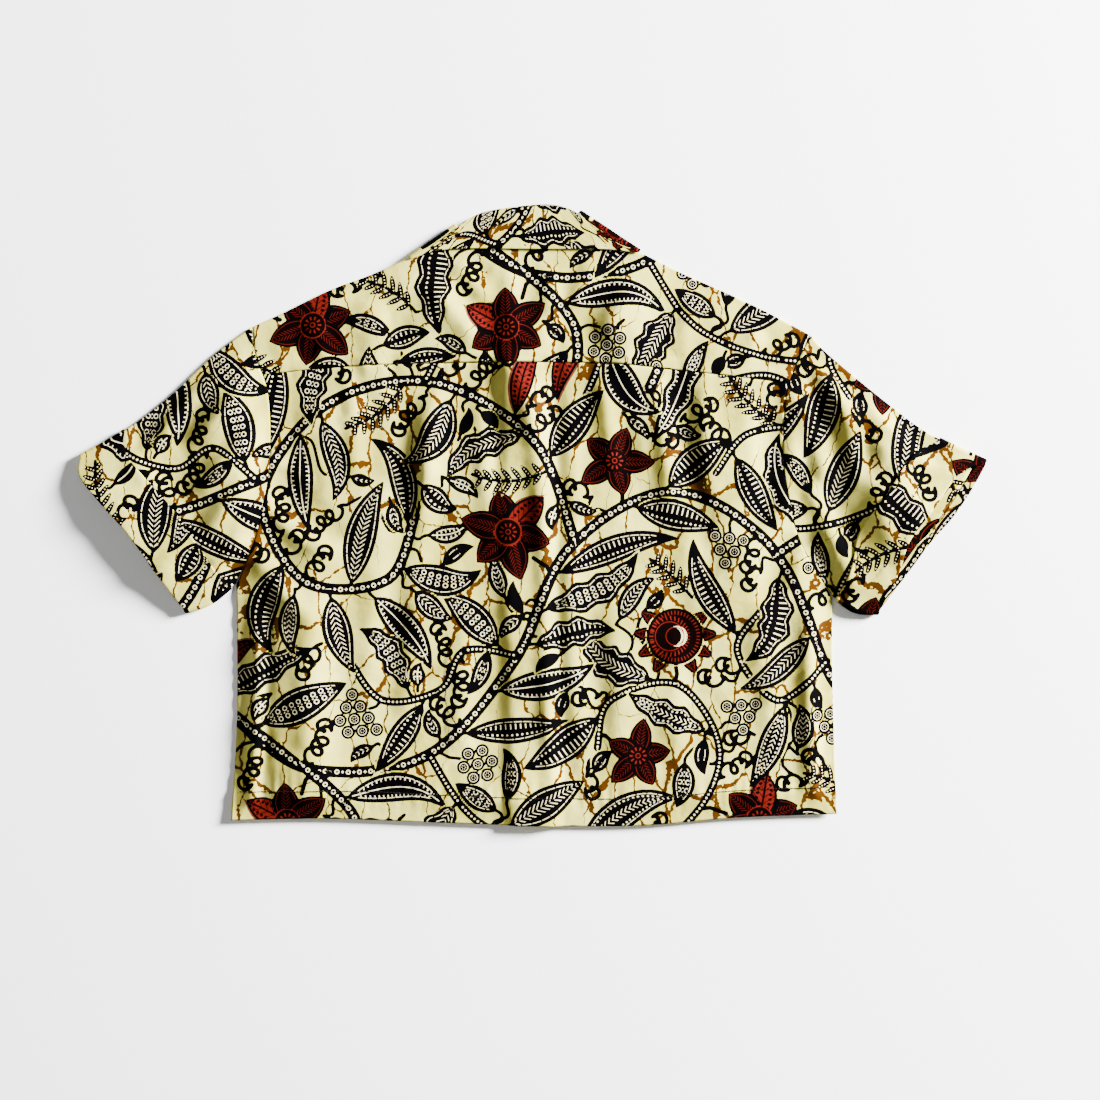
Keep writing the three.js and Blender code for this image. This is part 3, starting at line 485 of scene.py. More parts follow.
def mesh_piece(name, points, flat, groups, printed):
    """A mesh from points in millimetres and groups of faces, each an array with a row of corners for a face.

    The first groups, as many as printed says, are fine enough to carry the print."""
    groups = [np.asarray(g) for g in groups if len(g)]
    used = np.unique(np.concatenate([g.ravel() for g in groups]))
    new = np.zeros(len(points), int)
    new[used] = np.arange(len(used))
    sizes = np.concatenate([np.full(len(g), g.shape[1]) for g in groups])
    corners = np.concatenate([new[g].ravel() for g in groups])
    mesh = bpy.data.meshes.new(name)
    mesh.vertices.add(len(used))
    mesh.vertices.foreach_set("co", (points[used] * MM).astype(np.float32).ravel())
    mesh.loops.add(len(corners))
    mesh.loops.foreach_set("vertex_index", corners.astype(np.int32))
    mesh.polygons.add(len(sizes))
    mesh.polygons.foreach_set("loop_start", np.concatenate([[0], np.cumsum(sizes)[:-1]]).astype(np.int32))
    mesh.polygons.foreach_set("use_smooth", np.ones(len(sizes), bool))
    mesh.update(calc_edges=True)
    layer = mesh.uv_layers.new(name="cloth")
    layer.data.foreach_set("uv", (flat[used][corners] * MM).astype(np.float32).ravel())
    piece = bpy.data.objects.new(f"{name}_cloth", mesh)
    bpy.context.scene.collection.objects.link(piece)
    if printed:
        printable[name] = flat[used], np.concatenate([new[g] for g in groups[:printed]])
    print(f"{name}: {int(np.sum(sizes - 2))} triangles")
    return piece


def stand_for(piece, *nodes, slot="printed_cotton"):
    """The piece rides with the shirt and is shown in place of its solids."""
    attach(piece, "root")
    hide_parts(*nodes)
    return piece


def bar_faces(shape):
    """Faces of closed bars whose points have the shape (bars, rings, corners): their sides, and a cap at each end."""
    ids = np.arange(np.prod(shape)).reshape(shape)
    turn = np.roll(ids, -1, axis=2)
    sides = np.stack([ids[:, :-1], turn[:, :-1], turn[:, 1:], ids[:, 1:]], -1).reshape(-1, 4)
    return [sides, ids[:, 0, ::-1], ids[:, -1]]


print("ready to make pieces of cloth", CLOTH, "mm thick")

# %% [markdown]
# ## Body: back, yoke and fronts
#
# The back is one panel under a deep yoke. The yoke is one piece that runs over both shoulders, so its grid turns
# round the shoulder fold and ends on the chest. Seam allowances are pressed towards the yoke, which therefore
# stands a little proud, and sewing draws the cloth into small puckers, which die away from the seam.

# %% Lines that two pieces share
FOLD_INSET = OPEN["fold"] / 2 + SOLID_CLOTH / 2
shoulder = {side: line(SHOULDER[side]) for side in SIGN}


def fold_line(side):
    """The axis of the turn along a shoulder."""
    return lambda share: shoulder[side](share, SIGN[side] * FOLD_INSET)


def armhole(side):
    """The seam between body and sleeve. outward moves off the body by that much."""
    curve = line(ARMHOLE[side])
    trim = FOLD_INSET / curve.length
    return lambda share, outward: curve(mix(trim, 1, np.asarray(share, float)), outward * SIGN[side])


armholes = {side: armhole(side) for side in SIGN}


def body_edge(side):
    return lambda share: armholes[side](share, -SEAM / 2)


def turned(plan, out, top, bottom, angle, more=0.0):
    """A point of the turn between the upper layer and the lower one: angle pi/2 is up and -pi/2 down."""
    radius = (top - bottom) / 2 + more
    flat = plan + out * (radius * np.cos(angle))[..., None]
    return np.concatenate([flat, ((top + bottom) / 2 + radius * np.sin(angle))[..., None]], -1)


def direction(curve, share, step=0.01):
    """The unit direction of a line there."""
    way = curve(np.minimum(share + step, 1)) - curve(np.maximum(share - step, 0))
    return way / np.linalg.norm(way, axis=-1)[..., None]


def left_of(way):
    return np.stack([-way[..., 1], way[..., 0]], -1)


def lifted(plan, height):
    return np.concatenate([plan, height[..., None]], -1)


def pucker(along, away, pitch, reach, seed):
    """Small ripples across a seam, uneven in length, that die away from it."""
    wander = noise(np.stack([along, 0 * along], -1), 3 * pitch, seed)
    return np.sin(2 * np.pi * along / pitch + 5 * wander) * np.exp(-np.abs(away) / reach)


# %% The back
BACK_GRID = {"columns": 344, "rows": 264, "coarse": 4}
yoke_seam = line([body_edge("left")(YOKE_SHARE["left"]["back"]), *YOKE_SEAM,
                  body_edge("right")(YOKE_SHARE["right"]["back"])])
hem_line = line(HEM_LINE)
side_line = {side: line(SIDE[side]) for side in SIGN}
ARMHOLE_ROWS = 9 / 19  # share of the panel's height down to the underarm


def panel_edge(side, which, underarm):
    """The side of a body panel: along the armhole, then down the side seam."""
    def at(t):
        t = np.asarray(t, float)
        above = body_edge(side)(mix(YOKE_SHARE[side][which], 1, np.minimum(t / underarm, 1)))
        below = side_line[side](np.maximum(t - underarm, 0) / (1 - underarm))
        return np.where((t < underarm)[..., None], above, below)
    return at


def hem_relief(above):
    """The turned-up hem: a thicker band, drawn in along its stitch line. above is the height over the hem."""
    band = 0.55 * (1 - ramp(above, HEM_DEPTH - 1.5, HEM_DEPTH + 1.5))
    return band - 0.35 * np.exp(-(((above - HEM_DEPTH + 1.5) / 1.6) ** 2))


def back_surface(s, t):
    """The plan and the middle's height of the back at shares across and down."""
    plan = patch(lambda x: yoke_seam(x, -SEAM / 2), hem_line,
                 panel_edge("left", "back", ARMHOLE_ROWS), panel_edge("right", "back", ARMHOLE_ROWS))(s, t)
    above = plan[..., 1] - hem_line(s)[..., 1]
    under_yoke = yoke_seam(s)[..., 1] - plan[..., 1]
    height = upper(plan) + hem_relief(above)
    height += 0.3 * pucker(plan[..., 0], above - HEM_DEPTH, 11, 12, 7) * ramp(above, 0, 8)
    height += 0.35 * pucker(plan[..., 0], under_yoke, 19, 14, 8) - 0.55 * np.exp(-((under_yoke / 1.6) ** 2))
    for side in SIGN:
        from_seam = off_armhole(plan, side)
        height += 0.35 * pucker(plan[..., 1], from_seam, 17, 9, 9) - 0.3 * np.exp(-((from_seam / 1.6) ** 2))
    return plan, height


def make_back():
    """The panel's shares as a grid, from the wearer's right to left and from the yoke down."""
    s, t = np.meshgrid(np.linspace(1, 0, BACK_GRID["columns"] + 1), np.linspace(0, 1, BACK_GRID["rows"] + 1))
    plan, height = back_surface(s, t)
    return wall("back", lifted(plan, height), plan, BACK_GRID["coarse"])


def off_armhole(plan, side):
    """The distance from an armhole, across, as if the seam ran straight down at each height."""
    curve = armholes[side](np.linspace(0, 1, 200), 0.0)[::-1]
    return np.abs(plan[..., 0] - np.interp(plan[..., 1], curve[:, 1], curve[:, 0]))


# %% The yoke
YOKE_GRID = {"columns": 320, "rows": 66, "turn": 6, "front": 18, "coarse": 2}
NECK_SHARE = (13 / 40, 26 / 40)  # where the neck starts and ends along the yoke
neck_seam = line(NECK_SEAM)


def yoke_top(s):
    """The yoke's upper limit: a shoulder fold, the neck seam, and the other shoulder fold."""
    first, last = NECK_SHARE
    s = np.asarray(s, float)
    share = np.clip((s - first) / (last - first), 0, 1)
    ends = [fold_line("left")(1.0), fold_line("right")(1.0)]
    dip = neck_seam(share) - mix(neck_seam(0.0), neck_seam(1.0), share[..., None])
    neck = mix(ends[0], ends[1], share[..., None]) + dip
    near = fold_line("left")(s / first)
    far = fold_line("right")((1 - s) / (1 - last))
    return np.where((s <= first)[..., None], near, np.where((s >= last)[..., None], far, neck))


def yoke_front(side):
    """The part in front of a shoulder: share runs from the armhole to the neck, down from fold to seam."""
    seam = line([body_edge(side)(YOKE_SHARE[side]["front"]), FRONT_EDGE[side][0]])
    return patch(
        fold_line(side), lambda s: seam(s, -SIGN[side] * SEAM / 2),
        lambda t: body_edge(side)(YOKE_SHARE[side]["front"] * t),
        lambda t: mix(fold_line(side)(1.0), np.array(FRONT_EDGE[side][0], float), np.asarray(t)[..., None]),
    )


def unfold(plan, on_fold, way):
    """The place on the flat cloth of a point beyond a fold: mirrored in the fold's line through on_fold."""
    rel = plan - on_fold
    normal = left_of(way)
    return plan - 2 * np.sum(rel * normal, -1)[..., None] * normal


def make_yoke():
    """Rows up the back, then round the shoulder folds, then down the chest, where the neck's columns are left out."""
    g = YOKE_GRID
    s = np.linspace(0, 1, g["columns"] + 1)
    first, last = (round(share * g["columns"]) for share in NECK_SHARE)
    grid_s, grid_t = np.meshgrid(s, np.linspace(0, 1, g["rows"] + 1))
    behind = patch(lambda x: yoke_seam(x, SEAM / 2), yoke_top,
                   lambda t: body_edge("left")(YOKE_SHARE["left"]["back"] * (1 - np.asarray(t))),
                   lambda t: body_edge("right")(YOKE_SHARE["right"]["back"] * (1 - np.asarray(t))))(grid_s, grid_t)
    over_seam = behind[..., 1] - yoke_seam(grid_s)[..., 1]
    height = upper(behind) + 0.55 * (1 - ramp(over_seam, 7, 13))
    height += 0.3 * pucker(behind[..., 0], over_seam, 19, 12, 8) - 0.4 * np.exp(-((over_seam / 1.2) ** 2))
    for side in SIGN:
        height -= 0.3 * np.exp(-((off_armhole(behind, side) / 1.6) ** 2))
    flat = [behind]
    rows = [lifted(behind, height)]
    on_left = (np.arange(g["columns"] + 1) <= first)[:, None]
    share = np.clip(np.where(on_left[:, 0], s / s[first], (1 - s) / (1 - s[last])), 0, 1)
    on_fold = behind[-1]
    way = np.where(on_left, direction(fold_line("left"), share), direction(fold_line("right"), share))
    out = left_of(way) * np.where(on_left, 1, -1)
    top, bottom = height[-1], lower(on_fold)
    for k in range(1, g["turn"]):
        rows.append(turned(on_fold, out, top, bottom, np.full(len(s), np.pi / 2 - np.pi * k / g["turn"]))[None])
        flat.append(on_fold[None])
    down = np.linspace(0, 1, g["front"] + 1)[:, None]
    chest = np.where(on_left, yoke_front("left")(share, down), yoke_front("right")(share, down))
    rows.append(lifted(chest, lower(chest)))
    flat.append(unfold(chest, on_fold[None], way[None]))
    keep = np.ones((g["rows"] + g["turn"] + g["front"], g["columns"]), bool)
    keep[g["rows"]:, first:last] = False
    return wall("yoke", np.concatenate(rows), np.concatenate(flat), g["coarse"], keep=keep)


# %% The fronts
FRONT_GRID = {"columns": 132, "rows": 240, "coarse": 6}
front_height_of = {"left": front_height, "right": inner_front_height}
FRONT_ARMHOLE_ROWS = 0.5


def make_front(side):
    """A flat panel from yoke to hem and from armhole to front edge, which keeps to its own height function."""
    seam = line([body_edge(side)(YOKE_SHARE[side]["front"]), FRONT_EDGE[side][0]])
    edge = line(FRONT_EDGE[side])
    end = (FRONT_EDGE[side][-1][0] - HEM_LINE[0][0]) / (HEM_LINE[-1][0] - HEM_LINE[0][0])
    start = 0 if side == "left" else 1
    shares = np.linspace(0, 1, FRONT_GRID["columns"] + 1)
    if side == "right":
        shares = shares[::-1]
    s, t = np.meshgrid(shares, np.linspace(0, 1, FRONT_GRID["rows"] + 1))
    plan = patch(lambda x: seam(x, SIGN[side] * SEAM / 2), lambda x: hem_line(mix(start, end, x)),
                 panel_edge(side, "front", FRONT_ARMHOLE_ROWS), edge)(s, t)
    return wall(f"front_{side}", lifted(plan, front_height_of[side](plan)), plan, FRONT_GRID["coarse"])


# %% [markdown]
# ## Sleeves and cuffs
#
# Each sleeve is a tube pressed flat: an upper and a lower layer with round folds at the top and at the underarm.
# The end of the tube is turned outwards twice as deep as a hem, and the turn-up shows as a cuff. Its section is a
# hairpin, a short return inside and a deep outer layer, carried round the tube with the same stations.

# %% Stations round a sleeve
TUBE = {"across": 132, "turn": 6}
SLEEVE_ROWS = {"open": 64, "over_cuff": 10, "in_cuff": 10}
MOUTH_LIFT = {"left": 6.0, "right": 9.0}  # how far the upper layer gapes at the mouth
GAPE_REACH = 42                           # and how far in the gape is felt


def sleeve_shape(side):
    """point(inward, more): the tube's points at distances inward from its mouth, more outside its own layer."""
    sign = SIGN[side]
    top_line, under_line = line(SLEEVE_TOP[side]), line(SLEEVE_UNDER[side])

    def top_fold(t):
        return top_line(t, FOLD_INSET * -sign)

    def under_fold(t):
        return under_line(t, FOLD_INSET * sign)

    def start(s):
        last = 1 - FOLD_INSET / line(ARMHOLE[side]).length
        return curve_with_gap(side, np.minimum(s, last), SEAM * (0.5 + 3 * ramp(s, 0.9, 1)))

    layers = {}
    for layer in ("upper", "lower"):
        mouth = line(MOUTH[side, layer])
        trim = FOLD_INSET / mouth.length
        layers[layer] = patch(start, lambda s, m=mouth, k=trim: m(mix(k, 1 - k, s)), top_fold, under_fold)
    across, turn = np.linspace(0, 1, TUBE["across"] + 1), np.linspace(0, np.pi, TUBE["turn"] + 1)[1:-1]
    share = np.concatenate([across, np.ones(len(turn)), across[::-1], np.zeros(len(turn)), [0.0]])
    angle = np.concatenate([np.full(len(across), np.pi / 2), np.pi / 2 - turn, np.full(len(across), -np.pi / 2),
                            turn - np.pi / 2, [np.pi / 2]])
    is_lower = np.zeros(len(share), bool)
    is_lower[len(across) + len(turn):2 * len(across) + len(turn)] = True
    whole = np.where(is_lower, span(layers["lower"], share), span(layers["upper"], share))
    depth = mix(*CUFF_DEPTH[side], share)
    foot = np.minimum(depth + CUFF["fade"], mix(depth, whole, 0.8))
    by_underarm = (share > 0.5)[:, None]

    def point(inward, more):
        t = 1 - inward / whole
        plan = np.where(is_lower[:, None], layers["lower"](share, t), layers["upper"](share, t))
        way = np.where(by_underarm, direction(under_fold, t), direction(top_fold, t))
        out = left_of(way) * np.where(by_underarm, -sign, sign)
        over_cuff = CUFF["gap"] * (1 - ramp(inward, depth + 1, foot))
        gape = MOUTH_LIFT[side] * np.exp(-((inward / GAPE_REACH) ** 2)) * np.sin(np.pi * np.clip(share, 0, 1)) ** 2
        top, bottom = upper(plan) + over_cuff + gape, lower(plan) + over_cuff
        place = turned(plan, out, top, bottom, angle, more)
        # on the flat cloth, the lower layer is mirrored in the top fold
        on_fold, along = top_fold(t), direction(top_fold, t)
        flat = np.where(is_lower[:, None], unfold(plan, on_fold, along), plan)
        return place, flat

    return point, whole, depth, foot


def curve_with_gap(side, share, gap):
    """Points of the armhole at the body's own shares, moved outward by a gap that changes along it."""
    low, far = armholes[side](share, 0.0), armholes[side](share, 1.0)
    return low + (far - low) * np.asarray(gap)[..., None]


def span(layer, share):
    """The length of a layer from armhole to mouth, at each share."""
    return np.linalg.norm(layer(share, np.zeros_like(share)) - layer(share, np.ones_like(share)), axis=-1)


sleeve_shapes = {side: sleeve_shape(side) for side in SIGN}


def tube_wall(name, side, rows, coarse, flipped):
    """A wall round the tube from rows of (inward, more). flipped runs its stations the other way round."""
    point = sleeve_shapes[side][0]
    made = [point(inward, more) for inward, more in rows]
    grid, flat = np.stack([m[0] for m in made]), np.stack([m[1] for m in made])
    if flipped:
        grid, flat = grid[:, ::-1], flat[:, ::-1]
    return wall(name, grid, flat, coarse, closed=True)


def make_sleeve(side):
    """Rows round the tube from the armhole to just inside the cuff, closer together where the cuff covers them."""
    _, whole, depth, foot = sleeve_shapes[side]
    n = SLEEVE_ROWS
    inward = [mix(whole, foot, k / n["open"]) for k in range(n["open"])]
    inward += [mix(foot, depth + 1, k / n["over_cuff"]) for k in range(n["over_cuff"])]
    inward += [mix(depth + 1, CUFF["inside"] + SEAM, k / n["in_cuff"]) for k in range(n["in_cuff"] + 1)]
    coarse = {"left": 2, "right": 1}[side]  # the right mouth gapes, so its inside shows
    return tube_wall(f"sleeve_{side}", side, [(i, 0.0) for i in inward], coarse, flipped=side == "left")


def make_cuff(side):
    """The hairpin: a short leg inside the sleeve, half a circle at the mouth, and the deep leg outside."""
    _, _, depth, _ = sleeve_shapes[side]
    radius = CUFF["gap"] / 2
    mouth = radius + SOLID_CLOTH / 2
    whole = np.ones_like(depth)
    rows = [(mix(CUFF["inside"], mouth, k / 6) * whole, 0.0) for k in range(6)]
    for angle in np.linspace(0, np.pi, 7):
        rows.append(((mouth - radius * np.sin(angle)) * whole, radius - radius * np.cos(angle)))
    rows += [(mix(mouth, depth, k / 29), CUFF["gap"]) for k in range(1, 30)]
    return tube_wall(f"cuff_{side}", side, rows, 1, flipped=side == "right")


# %% [markdown]
# ## Collar and lapels
#
# A camp collar is cut in one piece and folds over on itself: a low stand, a crease, and a leaf that falls outside.
# Its section is a hairpin again, carried along the neck from one point to the other. At the back the leaf lies on
# top of the yoke. Round each side of the neck the section turns over, so that both collar points lie underneath.

# %% The collar's stations
TURN_LEFT = {"seam": (-96.9, 246.6), "crease": (-71.2, 267.8), "edge": (-113.5, 238.5), "out": (-0.57, 0.822)}
TURN_RIGHT = {"seam": (70.9, 256.5), "crease": (43.3, 280.3), "edge": (97.5, 244.5), "out": (0.551, 0.834)}
COLLAR_ROWS = [
    # seam, crease, edge, out, and how far the section has turned over, in degrees
    ((-51.5, 197.5), (-49.5, 199.5), (-103, 183), (0, 0), 180),
    ((-67.4, 208.3), (-57, 217), (-108.5, 201), (0, 0), 180),
    ((-85, 226.5), (-64.5, 243), (-112, 220), (0, 0), 180),
    *[(*TURN_LEFT.values(), turn) for turn in (180, 150, 120, 90, 60, 30, 0)],
    ((-83, 250.2), (-61, 275.3), (-97, 244.6), (0, 0), 0),
    ((-66, 251.3), (-48.5, 280.8), (-78, 248.2), (0, 0), 0),
    ((-48, 252), (-34.4, 283.5), (-56, 249), (0, 0), 0),
    ((-28, 252.4), (-17, 285.8), (-31, 248.7), (0, 0), 0),
    ((-8, 252.9), (0, 287.4), (-5, 248.4), (0, 0), 0),
    ((12, 254.1), (13, 288.1), (20, 248.2), (0, 0), 0),
    ((32, 255.8), (24, 287.2), (44, 248.3), (0, 0), 0),
    ((52, 257.4), (34, 284.6), (70, 248), (0, 0), 0),
    *[(*TURN_RIGHT.values(), turn) for turn in (0, 30, 60, 90, 120, 150, 180)],
    ((59.5, 236), (42, 253), (95, 224), (0, 0), 180),
    ((46.5, 216), (37, 225), (90, 204), (0, 0), 180),
    ((31.5, 201.5), (29.5, 203.5), (84, 187), (0, 0), 180),
]
COLLAR_GRID = {"stations": 9, "stand": 10, "turn": 8, "leaf": 28, "edge": 4}
print("collar rows:", len(COLLAR_ROWS))


# %% The collar's section
def collar_section():
    """The closed hairpin: part 0 along the stand or 1 along the leaf, share from the crease, reach, height."""
    g, half = COLLAR_GRID, CLOTH / 2 + 0.15
    stand, leaf = COLLAR["stand"], COLLAR["leaf"]
    centre, radius = (stand + leaf) / 2, (leaf - stand) / 2

    def leg(part, shares, height):
        return [(part, share, 0.0, height) for share in shares]

    def turn(r):
        angles = np.linspace(-np.pi / 2, np.pi / 2, g["turn"] + 2)[1:-1]
        return [(1, 0.0, r * np.cos(a), centre + r * np.sin(a)) for a in angles]

    rounded = [(1, 1.0, -half * np.sin(a), leaf + half * np.cos(a))
               for a in np.linspace(0, np.pi, g["edge"] + 2)[1:-1]]
    back_up, down = np.linspace(1, 0, g["stand"]), np.linspace(0, 1, g["leaf"])
    rows = leg(0, back_up, stand - half) + turn(radius + half) + leg(1, down, leaf + half) + rounded
    rows += leg(1, down[::-1], leaf - half) + turn(radius - half)[::-1] + leg(0, back_up[::-1], stand + half)
    return np.array(rows)


print("points round the collar's section:", len(collar_section()))


# %% The collar
def make_collar():
    """The section, scaled between seam, crease and edge and turned over, at stations along the neck."""
    rows = COLLAR_ROWS
    columns = [np.array([row[k] for row in rows], float) for k in range(4)]
    turns = np.array([row[4] for row in rows], float)
    place = np.linspace(0, len(rows) - 1, (len(rows) - 1) * COLLAR_GRID["stations"] + 1)

    def along(values):
        """Values at all stations: straight between the rows, then rounded a little by averaging."""
        made = np.stack([np.interp(place, np.arange(len(rows)), v) for v in values.T], -1)
        kernel = np.hanning(COLLAR_GRID["stations"] + 2)[1:-1]
        half = len(kernel) // 2
        padded = np.pad(made, ((half, half), (0, 0)), mode="edge")
        return np.stack([np.convolve(v, kernel / kernel.sum(), mode="valid") for v in padded.T], -1)

    seam, crease, edge = (along(columns[k]) for k in range(3))
    out = np.stack([np.interp(place, np.arange(len(rows)), v) for v in columns[3].T], -1)
    turn = np.radians(np.interp(place, np.arange(len(rows)), turns))
    section = collar_section()
    part, share, beyond, height = section.T
    away = crease - edge
    away /= np.linalg.norm(away, axis=1)[:, None]
    gap = SEAM / np.linalg.norm(seam - crease, axis=1)
    target = np.where((part == 0)[None, :, None], seam[:, None], edge[:, None])
    reach = share[None, :] * np.where(part == 0, 1 - gap[:, None], 1.0)
    plan = mix(crease[:, None], target, reach[..., None]) + away[:, None] * beyond[None, :, None]
    behind = (1 + np.cos(turn)) / 2
    swell = 0.5 * noise(plan, 34, 11) + 0.25 * noise(plan, 15, 12)
    tall = height[None] + (part * np.minimum(share, 1))[None] * swell * behind[:, None]
    up, aside = tall * np.cos(turn)[:, None], tall * np.sin(turn)[:, None]
    points = np.concatenate([plan + out[:, None] * aside[..., None], (COLLAR["middle"] + up)[..., None]], -1)
    lengths = np.cumsum(np.linalg.norm(np.diff(points, axis=1, append=points[:, :1]), axis=-1), axis=1)
    round_neck = np.cumsum(np.linalg.norm(np.diff(edge, axis=0, prepend=edge[:1]), axis=1))
    flat = np.stack([np.broadcast_to(round_neck[:, None], lengths.shape), -lengths], -1)
    n, stations = len(section), len(place)
    ids = np.arange(n * stations).reshape(stations, n)
    ring = np.concatenate([ids, ids[:, :1]], 1)
    sides = np.stack([ring[:-1, :-1], ring[:-1, 1:], ring[1:, 1:], ring[1:, :-1]], -1).reshape(-1, 4)
    i = np.arange(n // 2 - 1)
    strip = np.stack([i, i + 1, n - 2 - i, n - 1 - i], -1)
    caps = np.concatenate([ids[0][strip][:, ::-1], ids[-1][strip]])
    return mesh_piece("collar", points.reshape(-1, 3), flat.reshape(-1, 2), [sides, caps], printed=1)


# %% The lapels
LAPEL = {"left": ((0.082, 0.17), (-84, 171)), "right": ((0.086, 0.147), (64, 174))}


def make_lapel(side):
    """The facing that shows where a front turns out at its roll line: flat on the floor, then round the turn."""
    (first, last), tip = LAPEL[side]
    edge = line(FRONT_EDGE[side])
    off = 1 if side == "left" else -1

    def roll(share):
        return edge(mix(first, last, share), 3 * SEAM * off)

    columns, flat_rows, turn_rows = 24, 14, 6
    share = np.linspace(0, 1, columns + 1)
    if side == "right":
        share = share[::-1]
    on_roll, corner = roll(share), np.array(tip, float)
    free = mix(corner, mix(roll(1.0), corner, 0.06), share[:, None])
    down = np.linspace(0, 1, flat_rows + 1)[:, None, None]
    plan = mix(free[None], on_roll[None], down)
    rows = [lifted(plan, np.full(plan.shape[:2], FLOOR))]
    flat = [plan]
    out = left_of(direction(roll, share, 0.1)) * off
    top = front_height_of[side](on_roll)
    for angle in np.linspace(-np.pi / 2, np.pi / 2, turn_rows + 1)[1:]:
        rows.append(turned(on_roll, out, top, np.full_like(top, FLOOR), np.full(len(share), angle))[None])
        flat.append(on_roll[None])
    return wall(f"lapel_{side}", np.concatenate(rows), np.concatenate(flat), 1)


# %% Make all pieces of cloth
cloth = {"back": make_back(), "yoke": make_yoke(), "collar": make_collar()}
for side in SIGN:
    cloth[f"front_{side}"] = make_front(side)
    cloth[f"sleeve_{side}"] = make_sleeve(side)
    cloth[f"cuff_{side}"] = make_cuff(side)
    cloth[f"lapel_{side}"] = make_lapel(side)
for name, piece in cloth.items():
    stand_for(piece, name)

# %% [markdown]
# ## The print: one tile of vines, leaves, ferns, berries and flowers
#
# Wax prints are drawn on one tile and rolled along the cloth. The tile here is laid out by rule: the vines are
# listed, and the rest grows from them where there is room, with a seeded random order. Each motif is made of
# parts. A part is a spine with a half width, or a disc, and the distance to its outline is all that the cloth
# needs: the print is black where that distance is below zero. No picture is used, and no scale is lost close up.

# %% Parts of a motif
TILE = np.array([620.0, 540.0])
PLAIN, RING_VINE, DOT_VINE, HERRINGBONE, EDGE_DOTS, COMB, LACE, FRINGED = range(8)
PETAL, HEART, BERRY, LEAFLET, ROUND_FLOWER, RED_LEAF = range(8, 14)
THIN, BOLD = 1.55, 1.75  # half widths of stems and of tendrils


def spine(points, half, kind, rank, halo=0.0, start=0.0):
    """A stroke along points (n, 2) with a half width at each. start is the length drawn before it."""
    points = np.asarray(points, float)
    half = np.broadcast_to(np.asarray(half, float), (len(points),))
    run = start + np.concatenate([[0], np.cumsum(np.linalg.norm(np.diff(points, axis=0), axis=1))])
    return {"spine": points, "half": half, "run": run, "kind": kind, "rank": rank, "halo": halo}


def disc(centre, radius, kind, rank, halo=0.0):
    return {"spine": np.array([centre], float), "half": np.array([radius], float), "run": None,
            "kind": kind, "rank": rank, "halo": halo}


def measure(part, q):
    """Along the spine, across it, the half width there, and the distance to the outline, for points q."""
    if part["run"] is None:
        rel = q - part["spine"][0]
        radius = part["half"][0]
        return rel[:, 0], rel[:, 1], np.full(len(q), radius), np.hypot(*rel.T) - radius
    a = part["spine"][:-1]
    way = np.diff(part["spine"], axis=0)
    size = np.linalg.norm(way, axis=1) + 1e-9
    rel = q[:, None] - a[None]
    share = np.clip(np.sum(rel * way, -1) / size**2, 0, 1)
    away = rel - share[..., None] * way
    distance = np.hypot(away[..., 0], away[..., 1])
    k = np.argmin(distance, axis=1)
    row = np.arange(len(q))
    share, distance = share[row, k], distance[row, k]
    across = np.sign(way[k, 0] * rel[row, k, 1] - way[k, 1] * rel[row, k, 0]) * distance
    half = mix(part["half"][k], part["half"][k + 1], share)
    return part["run"][k] + share * size[k], across, half, distance - half


def moved(parts, place, angle, flip=1):
    """The parts of a motif turned by the angle and set on its place. flip of -1 mirrors it first."""
    c, s = np.cos(angle), np.sin(angle)
    turn = np.array([[c, s], [-s, c]])
    return [{**part, "spine": (part["spine"] * [1, flip]) @ turn + place} for part in parts]


# %% Single motifs, each growing from the origin along x
def leaf(length, half, bow, kind, stem=7.0, waves=0):
    """A pointed leaf: half width as a stretched sine along a bowed spine, with lobes if waves is not 0."""
    u = np.linspace(0, 1, 19)
    x, y = stem + length * u, bow * length * 4 * u * (1 - u) * (0.4 + 0.6 * u)
    width = half * np.sin(np.pi * u**0.85) ** 0.85 * (1 + 0.16 * np.sin(2 * np.pi * waves * u) * (waves > 0))
    tip = np.stack([x, y], -1)
    return [spine(tip, np.maximum(width, 0.15), kind, 5, 1.5),
            spine([(0, 0), (0.6 * stem, 0.1 * stem), tip[1]], THIN, PLAIN, 9)]


def fern(length, bow):
    """A rachis with pairs of leaflets that shorten towards the tip."""
    u = np.linspace(0, 1, 12)
    rachis = np.stack([length * u, bow * length * 4 * u * (1 - u)], -1)
    parts = [spine(rachis, THIN, PLAIN, 9)]
    count = int(length / 8.6)
    for k in range(1, count):
        at = k / count
        base = np.array([np.interp(at, u, rachis[:, 0]), np.interp(at, u, rachis[:, 1])])
        size = 14 * np.sin(np.pi * (0.2 + 0.66 * at)) + 2
        for side in (-1, 1):
            way = np.array([0.62, 0.785 * side])
            v = np.linspace(0, 1, 6)[:, None]
            parts.append(spine(base + v * size * way, 2.6 * np.sin(np.pi * (0.12 + 0.8 * v[:, 0])), LEAFLET, 6, 0.9))
    return parts


def berries(count, stem):
    """Berries in close rows on a short stem."""
    rows = {6: (3, 2, 1), 7: (2, 3, 2), 9: (4, 3, 2), 10: (1, 2, 3, 4)}[count]
    parts = [spine([(0, 0), (0.6 * stem, 2), (stem, 0)], THIN, PLAIN, 9)]
    for r, number in enumerate(rows):
        for k in range(number):
            middle = (stem + 6 + 11.6 * r, (k - (number - 1) / 2) * 13.2)
            parts.append(disc(middle, 6.3, BERRY, 7, 0.8))
    return parts


TENDRIL_BEND = 46  # radius of the arc that a coil follows


